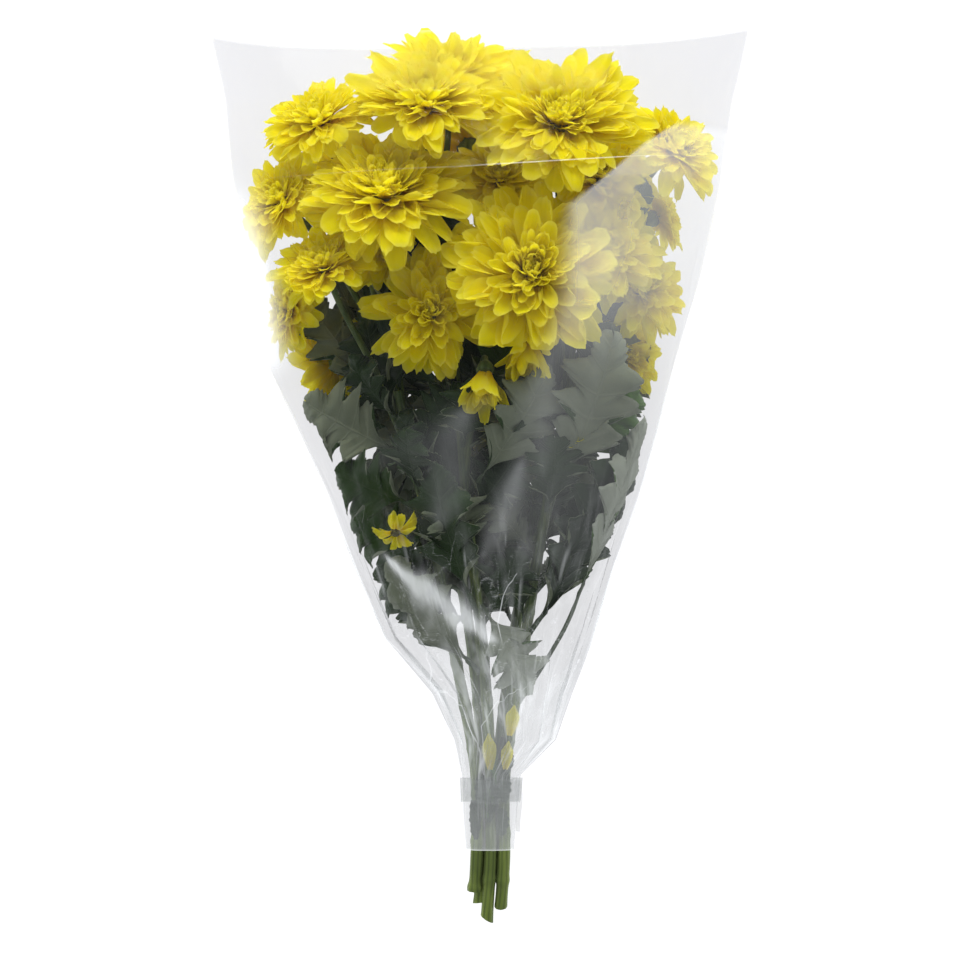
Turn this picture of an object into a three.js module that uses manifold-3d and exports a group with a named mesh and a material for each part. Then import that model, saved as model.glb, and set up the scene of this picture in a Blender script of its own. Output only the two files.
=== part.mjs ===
// A bunch of yellow spray chrysanthemums in an open sleeve of clear film, lying on its back.
// Millimetres. The surface it lies on is z = 0, +Y runs from the cut stems to the mouth of the
// sleeve, and the origin is the middle of the bunch's footprint.

import * as THREE from "three";
import { mergeVertices } from "three/addons/utils/BufferGeometryUtils.js";
import Module from "manifold-3d";

const wasm = await Module();
wasm.setup();

// ---- Driving dimensions ----

const TOUCH = 0.3; // clearance between pieces that touch
const CUT_GAP = 0.45; // clearance round whatever is trimmed by its neighbour

const FILM_WALL = 1.0;
const FILM_MARGIN = 1.5; // what lies inside keeps this far from the film
const SEAM_HEIGHT = 0.45; // share of the depth at which the two side seams run
const BACK_FLAT = 0.4; // share of the half width that lies flat on the surface
const MOUTH_TILT = 2.2; // the mouth's right corner is this much further out than its middle
const MOUTH_SAG_FRONT = 6.5;
const MOUTH_SAG_BACK = 2.5;

// Sections of the sleeve from its bottom edge to its mouth. A higher bow is a squarer front, and
// gather is how deep the pleats are where the film is drawn in toward the neck.
const SLEEVE = [
  { y: -212, left: -8.5, right: 20, back: 1.3, front: 19.6, bow: 3.5, gather: 0 },
  { y: -190.6, left: -10, right: 21.7, back: 1.3, front: 20.2, bow: 3.5, gather: 0 },
  { y: -169.5, left: -10.7, right: 23.9, back: 1.3, front: 24, bow: 3.2, gather: 0.5 },
  { y: -149, left: -15, right: 43.9, back: 0.6, front: 40, bow: 2.8, gather: 2.4 },
  { y: -122.2, left: -27.8, right: 52.8, back: 0, front: 55, bow: 2.5, gather: 4 },
  { y: -90.6, left: -54.5, right: 64.4, back: 0, front: 72, bow: 2.3, gather: 4 },
  { y: -54, left: -69, right: 76.3, back: 0, front: 94, bow: 2.2, gather: 3 },
  { y: -11, left: -85.6, right: 90.4, back: 0, front: 120, bow: 2.2, gather: 1.4 },
  { y: 33, left: -104.2, right: 102.3, back: 0, front: 140, bow: 2.2, gather: 0 },
  { y: 74, left: -124.2, right: 113.3, back: 0, front: 150, bow: 2.2, gather: 0 },
  { y: 107, left: -129, right: 122, back: 0, front: 153, bow: 2.2, gather: 0 },
  { y: 165.6, left: -139.6, right: 135.9, back: 0, front: 150, bow: 2.2, gather: 0 },
  { y: 213.3, left: -145, right: 143, back: 0, front: 130, bow: 2.2, gather: 0 },
  { y: 250.8, left: -150, right: 150, back: 0, front: 105, bow: 2.2, gather: 0 },
];

const TAPE_WALL = 0.7;
const TAPE_GAP = 0.45;
const TAPE_LOW = -184.5;
const TAPE_HIGH = -170.6;

const STEM_RADIUS = 3.7;
const STEM_TOP_RADIUS = 2.8;
const STEM_PITCH = 7.9; // between stems that lie side by side in the neck
const NECK_X = 6; // middle of the bundle in the neck
const NECK_LOW_Z = 6.4; // height of the two stems at the back of the neck
const NECK_HIGH_Z = NECK_LOW_Z + STEM_PITCH * Math.sin(Math.PI / 3);
const NECK_Y = [-214, -172]; // the stems run side by side between these
const BRANCH_RADIUS = 2.3;
const STALK_RADIUS = 1.7;

const PETAL_THICK = 0.8;
const LEAF_THICK = 0.9;

// ---- Small tools ----

const vector = (list) => new THREE.Vector3(...list);

// A repeatable random number between 0 and 1.
function randomFrom(seed) {
  let state = seed * 2654435761;
  return () => {
    state = (state + 0x6d2b79f5) | 0;
    let t = Math.imul(state ^ (state >>> 15), 1 | state);
    t = (t + Math.imul(t ^ (t >>> 7), 61 | t)) ^ t;
    return ((t ^ (t >>> 14)) >>> 0) / 4294967296;
  };
}

function solid(geometry) {
  geometry.deleteAttribute("normal");
  geometry.deleteAttribute("uv");
  const merged = mergeVertices(geometry, 1e-4);
  const corners = new Uint32Array(merged.index.array);
  const make = () =>
    new wasm.Manifold(
      new wasm.Mesh({ numProp: 3, vertProperties: merged.attributes.position.array, triVerts: corners }),
    );
  const made = make();
  if (made.volume() > 0) return made;
  for (let i = 0; i < corners.length; i += 3) {
    [corners[i], corners[i + 1]] = [corners[i + 1], corners[i]];
  }
  return make();
}

const join = (solids) => wasm.Manifold.union(solids);

// The largest body of a solid, without the scraps that a cut left loose.
function largest(made) {
  const bodies = made.decompose().sort((a, b) => b.volume() - a.volume());
  return bodies[0];
}

// A thin closed sheet: a grid of points on each face and a rim between them.
// Both faces are split into triangles alike, so a waved sheet never crosses itself.
function sheet(columns, rows, pointAt, wraps = false) {
  const grid = new THREE.PlaneGeometry(1, 1, columns, rows);
  const flat = grid.attributes.position;
  const count = flat.count;
  const places = new Float32Array(count * 6);
  for (let i = 0; i < count; i++) {
    const column = Math.round((flat.getX(i) + 0.5) * columns);
    const row = Math.round((flat.getY(i) + 0.5) * rows);
    [1, -1].forEach((side, face) => {
      const p = pointAt(wraps ? column % columns : column, row, side);
      places.set([p.x, p.y, p.z], (i + face * count) * 3);
    });
  }
  const corners = Array.from(grid.index.array);
  for (let i = 0; i < grid.index.count; i += 3) {
    const [a, b, c] = grid.index.array.slice(i, i + 3);
    corners.push(a + count, c + count, b + count);
  }
  const wide = columns + 1;
  const rim = [];
  for (let c = 0; c < columns; c++) rim.push([c + 1, c]);
  for (let c = 0; c < columns; c++) rim.push([rows * wide + c, rows * wide + c + 1]);
  for (let r = 0; r < rows && !wraps; r++) rim.push([r * wide, (r + 1) * wide]);
  for (let r = 0; r < rows && !wraps; r++) rim.push([(r + 1) * wide + columns, r * wide + columns]);
  for (const [a, b] of rim) corners.push(b, a, a + count, b, a + count, b + count);
  const made = new THREE.BufferGeometry();
  made.setAttribute("position", new THREE.BufferAttribute(places, 3));
  made.setIndex(corners);
  return made;
}

// A blade of even thickness round a middle surface, given as a function of u and v from 0 to 1.
function blade(columns, rows, middleAt, thickness) {
  const step = 0.01;
  const pointAt = (column, row, side) => {
    const u = column / columns;
    const v = row / rows;
    const along = middleAt(u, Math.min(v + step, 1)).sub(middleAt(u, Math.max(v - step, 0)));
    const across = middleAt(Math.min(u + step, 1), v).sub(middleAt(Math.max(u - step, 0), v));
    const normal = across.cross(along).normalize();
    return middleAt(u, v).addScaledVector(normal, (side * thickness) / 2);
  };
  return sheet(columns, rows, pointAt);
}

// A round tube along a list of points, tapering from its start to its end.
function tube(points, startRadius, endRadius, sides, steps) {
  const curve = new THREE.CatmullRomCurve3(points, false, "centripetal");
  const frames = curve.computeFrenetFrames(steps, false);
  const geometry = new THREE.CylinderGeometry(endRadius, startRadius, 1, sides, steps);
  const position = geometry.attributes.position;
  for (let i = 0; i < position.count; i++) {
    const step = Math.round((position.getY(i) + 0.5) * steps);
    const p = curve
      .getPointAt(step / steps)
      .addScaledVector(frames.normals[step], position.getX(i))
      .addScaledVector(frames.binormals[step], position.getZ(i));
    position.setXYZ(i, p.x, p.y, p.z);
  }
  return geometry;
}

// Presses a length smoothly under a limit: short ones stay as they are.
function soften(length, limit, free = 0.88) {
  const start = free * limit;
  if (length <= start) return length;
  return start + (limit - start) * (1 - Math.exp((start - length) / (limit - start)));
}

// ---- Sleeve ----

// Places round the sleeve, from its left seam over the front and back under it. Every second place
// of the front is the bottom of a pleat.
const RIGHT_PLACES = [0.15, 0.3, 0.45, 0.6, 0.74, 0.86, 0.95, 1];
const FRONT_PLACES = [...RIGHT_PLACES.map((u) => -u).reverse(), 0, ...RIGHT_PLACES];
const BACK_PLACES = [0.86, 0.64, 0.4, 0, -0.4, -0.64, -0.86];
const RING = [
  ...FRONT_PLACES.map((u, k) => ({ u, front: true, pleat: k % 2 })),
  ...BACK_PLACES.map((u) => ({ u, front: false, pleat: 0 })),
];
const RIGHT_SEAM = FRONT_PLACES.length - 1;
const FRONT_MIDDLE = RIGHT_SEAM / 2;
const BACK_MIDDLE = RIGHT_SEAM + 1 + (BACK_PLACES.length - 1) / 2;

function ringPoint(section, { u, front }) {
  const half = (section.right - section.left) / 2;
  const seam = section.back + SEAM_HEIGHT * (section.front - section.back);
  const x = section.left + half * (1 + u);
  if (front) {
    const rise = (1 - Math.abs(u) ** section.bow) ** 0.55;
    return new THREE.Vector2(x, seam + (section.front - seam) * rise);
  }
  const inward = Math.min(1, (1 - Math.abs(u)) / (1 - BACK_FLAT));
  const fall = 1 - (1 - inward) ** 1.8;
  return new THREE.Vector2(x, seam + (section.back - seam) * fall);
}

const sleeveRings = SLEEVE.map((section) => RING.map((place) => ringPoint(section, place)));

// The sleeve's outer ring at any y, on the straight edges between its sections.
function ringAt(y) {
  const last = SLEEVE.length - 1;
  let above = SLEEVE.findIndex((section) => section.y >= y);
  if (above < 0) above = last;
  above = Math.max(1, above);
  const from = SLEEVE[above - 1].y;
  const share = THREE.MathUtils.clamp((y - from) / (SLEEVE[above].y - from), 0, 1);
  return RING.map((_, k) => sleeveRings[above - 1][k].clone().lerp(sleeveRings[above][k], share));
}

// How deep the pleats are at any y.
function gatherAt(y) {
  const above = THREE.MathUtils.clamp(SLEEVE.findIndex((section) => section.y >= y), 1, SLEEVE.length - 1);
  const [low, high] = [SLEEVE[above - 1], SLEEVE[above]];
  return THREE.MathUtils.lerp(low.gather, high.gather, (y - low.y) / (high.y - low.y));
}

const inwardOf = (a, b) => new THREE.Vector2(b.y - a.y, a.x - b.x).normalize();

// A ring's corners moved inward, each by its own distance, or outward by a negative one.
function offsetRing(ring, distanceAt) {
  return ring.map((point, k) => {
    const before = inwardOf(ring[(k + ring.length - 1) % ring.length], point);
    const after = inwardOf(point, ring[(k + 1) % ring.length]);
    const mitre = before.clone().add(after).divideScalar(1 + before.dot(after));
    return point.clone().addScaledVector(mitre.clampLength(0, 3), distanceAt(k));
  });
}

function mouthY({ u, front }) {
  const sag = front ? MOUTH_SAG_FRONT : MOUTH_SAG_BACK;
  return SLEEVE[SLEEVE.length - 1].y + MOUTH_TILT * u - sag * (1 - u ** 4);
}

function makeSleeve() {
  const outer = sleeveRings.map((ring, row) => offsetRing(ring, (k) => RING[k].pleat * SLEEVE[row].gather));
  const inner = outer.map((ring) => offsetRing(ring, () => FILM_WALL));
  const last = SLEEVE.length - 1;
  const pointAt = (column, row, side) => {
    const point = (side > 0 ? outer : inner)[row][column];
    const y = row === last ? mouthY(RING[column]) : SLEEVE[row].y;
    return new THREE.Vector3(point.x, y, point.y);
  };
  return solid(sheet(RING.length, last, pointAt, true));
}

function makeTape() {
  const pointAt = (column, row, side) => {
    const y = row === 0 ? TAPE_LOW : TAPE_HIGH;
    const ring = offsetRing(ringAt(y), () => (side > 0 ? -TAPE_GAP - TAPE_WALL : -TAPE_GAP));
    return new THREE.Vector3(ring[column].x, y, ring[column].y);
  };
  return solid(sheet(RING.length, 1, pointAt, true));
}

const sleeveTop = SLEEVE[SLEEVE.length - 1].y - MOUTH_SAG_FRONT;
const ringCache = new Map();

// How far a point inside the sleeve is from the film's outer face, at the bottom of its pleats.
// Past the mouth nothing is near.
function filmDistance(point) {
  if (point.y > sleeveTop) return 100;
  const key = Math.round(point.y * 2);
  if (!ringCache.has(key)) ringCache.set(key, ringAt(key / 2));
  const ring = ringCache.get(key);
  let nearest = 100;
  for (let k = 0; k < ring.length; k++) {
    const a = ring[k];
    const inward = inwardOf(a, ring[(k + 1) % ring.length]);
    nearest = Math.min(nearest, (point.x - a.x) * inward.x + (point.z - a.y) * inward.y);
  }
  return nearest - gatherAt(point.y);
}

// How far one can go from a point in a direction before the film is nearer than the margin.
function roomToward(from, direction, margin) {
  const stride = 3;
  const furthest = 160;
  const probe = new THREE.Vector3();
  const free = (length) => filmDistance(probe.copy(from).addScaledVector(direction, length)) > margin;
  let reach = 0;
  while (reach < furthest && free(reach + stride)) reach += stride;
  let finer = stride / 2;
  for (let i = 0; i < 5; i++) {
    if (free(reach + finer)) reach += finer;
    finer /= 2;
  }
  return Math.max(reach, 0.5);
}

// The middle of the sleeve at a given y.
function axisAt(y) {
  const ring = ringAt(y);
  const middle = (ring[0].x + ring[RIGHT_SEAM].x) / 2;
  return new THREE.Vector3(middle, y, (ring[FRONT_MIDDLE].y + ring[BACK_MIDDLE].y) / 2);
}

// ---- Sprays: one leafy stem each, with its blooms ----

const neckSpot = (offset, high) => [NECK_X + offset * STEM_PITCH, high ? NECK_HIGH_Z : NECK_LOW_Z];

// Each main stem: its cut end, its place in the neck, and the points that it passes after it.
const SPRAYS = [
  {
    name: "stem_left",
    end: [-3, -236, 7],
    neck: neckSpot(-1, true),
    path: [[-14, -100, 38], [-30, -20, 66], [-46, 50, 80]],
  },
  {
    name: "stem_middle",
    end: [4, -252.2, 6],
    neck: neckSpot(0, true),
    path: [[2, -100, 44], [-8, -10, 76], [-12, 50, 84]],
  },
  {
    name: "stem_right",
    end: [12, -245, 7],
    neck: neckSpot(1, true),
    path: [[24, -100, 38], [38, -10, 68], [50, 50, 80]],
  },
  {
    name: "stem_back_left",
    end: [0, -243, 4.4],
    neck: neckSpot(-0.5, false),
    path: [[-4, -100, 18], [-22, 0, 36], [-38, 70, 48]],
  },
  {
    name: "stem_back_right",
    end: [11.5, -231, 6.6],
    neck: neckSpot(0.5, false),
    path: [[18, -100, 18], [34, 0, 36], [44, 70, 48]],
  },
];

// Every bloom, under the spray that it grows on: its middle, its radius, the way it faces and its form.
const BLOOMS = [
  [
    { name: "bloom_left_large", at: [-51.5, 158, 103], radius: 50, facing: [-0.05, 0.72, 0.69], form: "full" },
    { name: "bloom_left_top", at: [-89, 199.5, 84], radius: 32, facing: [-0.3, 0.76, 0.56], form: "half" },
    { name: "bloom_left_outer", at: [-110, 155, 82], radius: 28, facing: [-0.55, 0.48, 0.68], form: "half" },
    { name: "bloom_left_middle", at: [-86, 117, 102], radius: 28.5, facing: [-0.3, 0.74, 0.58], form: "half" },
    { name: "bloom_left_edge", at: [-108, 95, 60], radius: 24, facing: [-0.6, 0.1, 0.5], form: "half" },
    { name: "bloom_small_left", at: [-47, -29, 82], radius: 11, facing: [-0.1, -0.2, 0.95], form: "small" },
  ],
  [
    { name: "bloom_top_middle", at: [-30, 208, 98], radius: 41, facing: [0, 0.8, 0.6], form: "full" },
    { name: "bloom_centre_large", at: [28, 114, 119], radius: 50, facing: [0.02, 0.28, 0.96], form: "full" },
    { name: "bloom_centre_low", at: [-27, 92, 104], radius: 33, facing: [-0.05, 0.1, 0.99], form: "half" },
    { name: "bloom_centre_left", at: [-57, 133, 80], radius: 28, facing: [0, 0.3, 0.9], form: "half" },
    { name: "bud_hanging", at: [2.5, 57, 108], radius: 20, facing: [-0.1, -0.9, 0.4], form: "bud" },
  ],
  [
    { name: "bloom_right_top", at: [44, 197, 104], radius: 48, facing: [0.05, 0.69, 0.72], form: "full" },
    { name: "bloom_right_middle", at: [69, 127, 94], radius: 33, facing: [0.3, 0.3, 0.9], form: "half" },
    { name: "bloom_right_low", at: [90, 106, 70], radius: 29, facing: [0.45, 0.35, 0.8], form: "half" },
    { name: "bloom_right_lowest", at: [82, 70, 60], radius: 22, facing: [0.3, 0.1, 0.6], form: "half" },
    { name: "bloom_half_open", at: [25, 75, 107], radius: 20, facing: [0.1, -0.8, 0.55], form: "bud" },
    { name: "bud_right_low", at: [51, 22, 84], radius: 8, facing: [0.1, 0.3, 0.9], form: "bud" },
  ],
  [
    { name: "bloom_top_back", at: [-17.5, 227, 60], radius: 46, facing: [0, 0.93, 0.37], form: "full" },
    { name: "bloom_left_low", at: [-82, 65.5, 46], radius: 25.5, facing: [-0.3, 0, -0.5], form: "half" },
    { name: "bloom_back_left", at: [-75, 172, 38], radius: 30, facing: [-0.3, 0.5, -0.8], form: "rear" },
    { name: "bloom_back_middle", at: [-5, 190, 36], radius: 34, facing: [0, 0.55, -0.83], form: "rear" },
    { name: "bloom_back_low_left", at: [-33, 122, 34], radius: 31, facing: [-0.1, 0.1, -1], form: "rear" },
  ],
  [
    { name: "bloom_right_inner", at: [65.5, 168, 82], radius: 31, facing: [0.2, 0.5, 0.8], form: "half" },
    { name: "bloom_right_outer", at: [107, 185, 74], radius: 29, facing: [0.5, 0.6, 0.6], form: "half" },
    { name: "bloom_right_edge", at: [101, 149, 48], radius: 20, facing: [0.7, 0.3, -0.2], form: "half" },
    { name: "bloom_middle_inner", at: [11, 167, 84], radius: 29, facing: [0, 0.5, 0.85], form: "half" },
    { name: "bloom_back_right", at: [67, 183, 38], radius: 31, facing: [0.3, 0.5, -0.8], form: "rear" },
    { name: "bloom_back_low_right", at: [42, 116, 34], radius: 31, facing: [0.1, 0.1, -1], form: "rear" },
  ],
];

// Rings of petals, from the outermost to the innermost. Reach, half width, root height, the inner
// radius at which they start and curl are shares of the bloom's radius. Tilt is in degrees.
const FORMS = {
  full: [
    { count: 7, tilt: -10, reach: 1, half: 0.25, root: -0.08, inner: 0.22, curl: 0.06 },
    { count: 5, tilt: 14, reach: 0.82, half: 0.22, root: 0.01, inner: 0.22, curl: 0.05 },
    { count: 3, tilt: 42, reach: 0.58, half: 0.17, root: 0.1, inner: 0.2, curl: -0.04 },
  ],
  half: [
    { count: 6, tilt: -6, reach: 1, half: 0.28, root: -0.07, inner: 0.22, curl: 0.05 },
    { count: 3, tilt: 30, reach: 0.72, half: 0.24, root: 0.06, inner: 0.2, curl: 0 },
  ],
  rear: [
    { count: 5, tilt: -8, reach: 1, half: 0.32, root: -0.07, inner: 0.22, curl: 0.05 },
    { count: 3, tilt: 26, reach: 0.72, half: 0.2, root: 0.06, inner: 0.2, curl: 0 },
  ],
  small: [{ count: 6, tilt: 6, reach: 1, half: 0.28, root: -0.02, inner: 0.2, curl: 0 }],
  bud: [{ count: 5, tilt: 52, reach: 1, half: 0.2, root: 0.02, inner: 0.2, curl: 0 }],
};
const PETAL_SPREAD = [0.26, 1, 0.8];
const CORE_DEPTH = 0.16;
const CORE_RADIUS = 0.27;
const CORE_HEIGHT = 0.22;

const blooms = BLOOMS.flatMap((list, spray) => list.map((bloom) => ({ ...bloom, spray }))).map(
  (bloom, index) => ({ ...bloom, at: vector(bloom.at), facing: vector(bloom.facing).normalize(), index }),
);

// How far a bloom wants to reach in a direction: its radius in its own plane, less along its face.
function spanToward(bloom, direction) {
  const along = bloom.facing.dot(direction);
  return bloom.radius * Math.sqrt(1 - along * along + (0.45 * along) ** 2);
}

// Neighbouring blooms press against each other at a plane between them.
const planes = blooms.map((bloom) =>
  blooms
    .filter((other) => other !== bloom)
    .map((other) => {
      const toward = other.at.clone().sub(bloom.at);
      const distance = toward.length();
      toward.divideScalar(distance);
      const mine = spanToward(bloom, toward);
      const theirs = spanToward(other, toward.clone().negate());
      return { normal: toward, distance: (distance * mine) / (mine + theirs) - TOUCH / 2 - PETAL_THICK / 2 };
    }),
);

function pressIntoPlace(bloom, point) {
  const ray = point.clone().sub(bloom.at);
  const length = ray.length();
  if (length < 0.2 * bloom.radius) return point;
  ray.divideScalar(length);
  let limit = 200;
  for (const plane of planes[bloom.index]) {
    const toward = plane.normal.dot(ray);
    if (toward > 0.01) limit = Math.min(limit, plane.distance / toward);
  }
  if (limit * 0.6 < length || filmDistance(point) < 25) {
    limit = Math.min(limit, roomToward(bloom.at, ray, FILM_WALL + FILM_MARGIN + PETAL_THICK / 2));
  }
  return bloom.at.clone().addScaledVector(ray, soften(length, limit));
}

function turnTo(facing) {
  return new THREE.Quaternion().setFromUnitVectors(new THREE.Vector3(0, 0, 1), facing);
}

// Width of a petal at v, from its width at its root, its middle and its tip.
function spreadAt(spread, v) {
  const row = Math.min(1, Math.floor(v * 2));
  return THREE.MathUtils.lerp(spread[row], spread[row + 1], v * 2 - row);
}

function petal(bloom, ring, azimuth, tilt, length) {
  const turn = turnTo(bloom.facing);
  const out = new THREE.Vector3(Math.cos(azimuth), Math.sin(azimuth), 0);
  const across = new THREE.Vector3(-out.y, out.x, 0);
  const middleAt = (u, v) => {
    const run = v * (length - ring.inner);
    const local = out
      .clone()
      .multiplyScalar(ring.inner + run * Math.cos(tilt))
      .addScaledVector(across, (2 * u - 1) * ring.half * spreadAt(PETAL_SPREAD, v));
    local.z = ring.root + run * Math.sin(tilt) + ring.curl * v * v;
    const world = local.multiplyScalar(bloom.radius).applyQuaternion(turn).add(bloom.at);
    return pressIntoPlace(bloom, world);
  };
  return solid(blade(1, 2, middleAt, PETAL_THICK));
}

function core(bloom) {
  const profile = [
    [0, -CORE_DEPTH],
    [CORE_RADIUS * 0.85, -CORE_DEPTH],
    [CORE_RADIUS, 0],
    [CORE_RADIUS * 0.75, CORE_HEIGHT * 0.7],
    [0, CORE_HEIGHT],
  ].map(([x, y]) => new THREE.Vector2(x * bloom.radius, y * bloom.radius));
  const geometry = new THREE.LatheGeometry(profile, 6);
  geometry.rotateX(Math.PI / 2);
  geometry.applyQuaternion(turnTo(bloom.facing));
  geometry.translate(...bloom.at.toArray());
  return solid(geometry);
}

function makeBloom(bloom) {
  const random = randomFrom(bloom.index + 11);
  const petals = FORMS[bloom.form].flatMap((ring, order) => {
    const start = random() * Math.PI;
    return Array.from({ length: ring.count }, (_, k) => {
      const azimuth = start + ((k + 0.5 * order + 0.14 * (random() - 0.5)) * 2 * Math.PI) / ring.count;
      const tilt = THREE.MathUtils.degToRad(ring.tilt + 8 * (random() - 0.5));
      return petal(bloom, ring, azimuth, tilt, ring.reach * (1 - 0.1 * random()));
    });
  });
  return join([core(bloom), ...petals]);
}

// ---- Stems and flower stalks ----

const stemCurves = SPRAYS.map(({ end, neck, path }) => {
  const inNeck = NECK_Y.map((y) => new THREE.Vector3(neck[0], y, neck[1]));
  const points = [vector(end), ...inNeck, ...path.map(vector)];
  return new THREE.CatmullRomCurve3(points, false, "centripetal");
});

// The point of a main stem at a given y.
function stemAt(spray, y) {
  const curve = stemCurves[spray];
  let low = 0;
  let high = 1;
  for (let i = 0; i < 24; i++) {
    const middle = (low + high) / 2;
    if (curve.getPointAt(middle).y < y) low = middle;
    else high = middle;
  }
  return { point: curve.getPointAt(low), tangent: curve.getTangentAt(low) };
}

const CALYX_RADIUS = 0.24;
const calyxHeight = (bloom) => 3 + 0.14 * bloom.radius;
const calyxTop = (bloom) =>
  bloom.at.clone().addScaledVector(bloom.facing, -CORE_DEPTH * bloom.radius - TOUCH);

const STALK_POINTS = 8;
const JOIN_LOW = -75;
const JOIN_HIGH = 46;

// A flower stalk leaves its stem along it and comes up to the bloom from behind.
function stalkPath(bloom) {
  const top = stemAt(bloom.spray, JOIN_HIGH).point;
  const away = bloom.at.distanceTo(top);
  const joinY = THREE.MathUtils.clamp(bloom.at.y - 0.75 * away - 45, JOIN_LOW, JOIN_HIGH);
  const { point, tangent } = stemAt(bloom.spray, joinY);
  const end = calyxTop(bloom).addScaledVector(bloom.facing, -0.7 * calyxHeight(bloom));
  const length = point.distanceTo(end);
  const curve = new THREE.CubicBezierCurve3(
    point,
    point.clone().addScaledVector(tangent, 0.35 * length),
    end.clone().addScaledVector(bloom.facing, -0.38 * length),
    end,
  );
  return curve.getSpacedPoints(STALK_POINTS - 1);
}

// Samples of a path, close enough together to be compared as balls.
function samplesOf(points, each) {
  const samples = [];
  for (let i = 0; i < points.length - 1; i++) {
    for (let k = 0; k < each; k++) {
      samples.push({ at: points[i].clone().lerp(points[i + 1], k / each), segment: i, share: k / each });
    }
  }
  return samples;
}

// Bends the stalks clear of the other sprays' stems, of the blooms and of the film.
function bendClear(stalks) {
  const rest = stalks.map((stalk) => stalk.points.map((p) => p.clone()));
  const stems = stemCurves.map((curve, spray) => ({
    spray,
    radius: STEM_RADIUS,
    samples: samplesOf(curve.getSpacedPoints(40), 3),
  }));
  for (let round = 0; round < 90; round++) {
    const ropes = stalks.map((stalk) => ({
      spray: stalk.bloom.spray,
      radius: BRANCH_RADIUS,
      samples: samplesOf(stalk.points, 4),
    }));
    stalks.forEach((stalk, which) => {
      const pushes = stalk.points.map(() => new THREE.Vector3());
      const push = (sample, from, need) => {
        const gap = sample.at.clone().sub(from);
        const distance = gap.length() + 1e-6;
        if (distance >= need) return;
        gap.multiplyScalar((need - distance) / distance / 2);
        pushes[sample.segment].addScaledVector(gap, 1 - sample.share);
        pushes[sample.segment + 1].addScaledVector(gap, sample.share);
      };
      for (const sample of ropes[which].samples) {
        for (const rope of [...stems, ...ropes]) {
          if (rope.spray === stalk.bloom.spray) continue;
          const need = BRANCH_RADIUS + rope.radius + 2;
          for (const other of rope.samples) {
            if (Math.abs(other.at.y - sample.at.y) < need) push(sample, other.at, need);
          }
        }
        for (const bloom of blooms) {
          if (bloom === stalk.bloom) continue;
          push(sample, bloom.at, 0.42 * bloom.radius + BRANCH_RADIUS);
        }
      }
      stalk.points.forEach((point, k) => {
        if (k < 1 || k > STALK_POINTS - 3) return;
        point.add(pushes[k].clampLength(0, 2));
        const axis = axisAt(point.y);
        while (filmDistance(point) < FILM_WALL + FILM_MARGIN + BRANCH_RADIUS + 2) point.lerp(axis, 0.05);
      });
      for (let k = 1; k < STALK_POINTS - 1; k++) {
        const shift = (n) => stalk.points[n].clone().sub(rest[which][n]);
        const calm = shift(k - 1).add(shift(k + 1)).multiplyScalar(0.25).addScaledVector(shift(k), 0.49);
        stalk.points[k].copy(rest[which][k]).add(calm);
      }
    });
  }
}

const stalks = blooms.map((bloom) => ({ bloom, points: stalkPath(bloom) }));
bendClear(stalks);

function stemTube(spray, grow) {
  const points = stemCurves[spray].getSpacedPoints(24);
  return solid(tube(points, STEM_RADIUS + grow, STEM_TOP_RADIUS + grow, 7, 10));
}

function stalkTube({ points }, grow) {
  return solid(tube(points, BRANCH_RADIUS + grow, STALK_RADIUS + grow, 4, 4));
}

function calyx({ bloom }, grow) {
  const height = calyxHeight(bloom);
  const wide = CALYX_RADIUS * bloom.radius;
  const geometry = new THREE.CylinderGeometry(wide + grow, STALK_RADIUS + grow, height + 2 * grow, 5, 1);
  geometry.rotateX(Math.PI / 2);
  geometry.applyQuaternion(turnTo(bloom.facing));
  geometry.translate(...calyxTop(bloom).addScaledVector(bloom.facing, -height / 2).toArray());
  return solid(geometry);
}

// ---- Leaves ----

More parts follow.
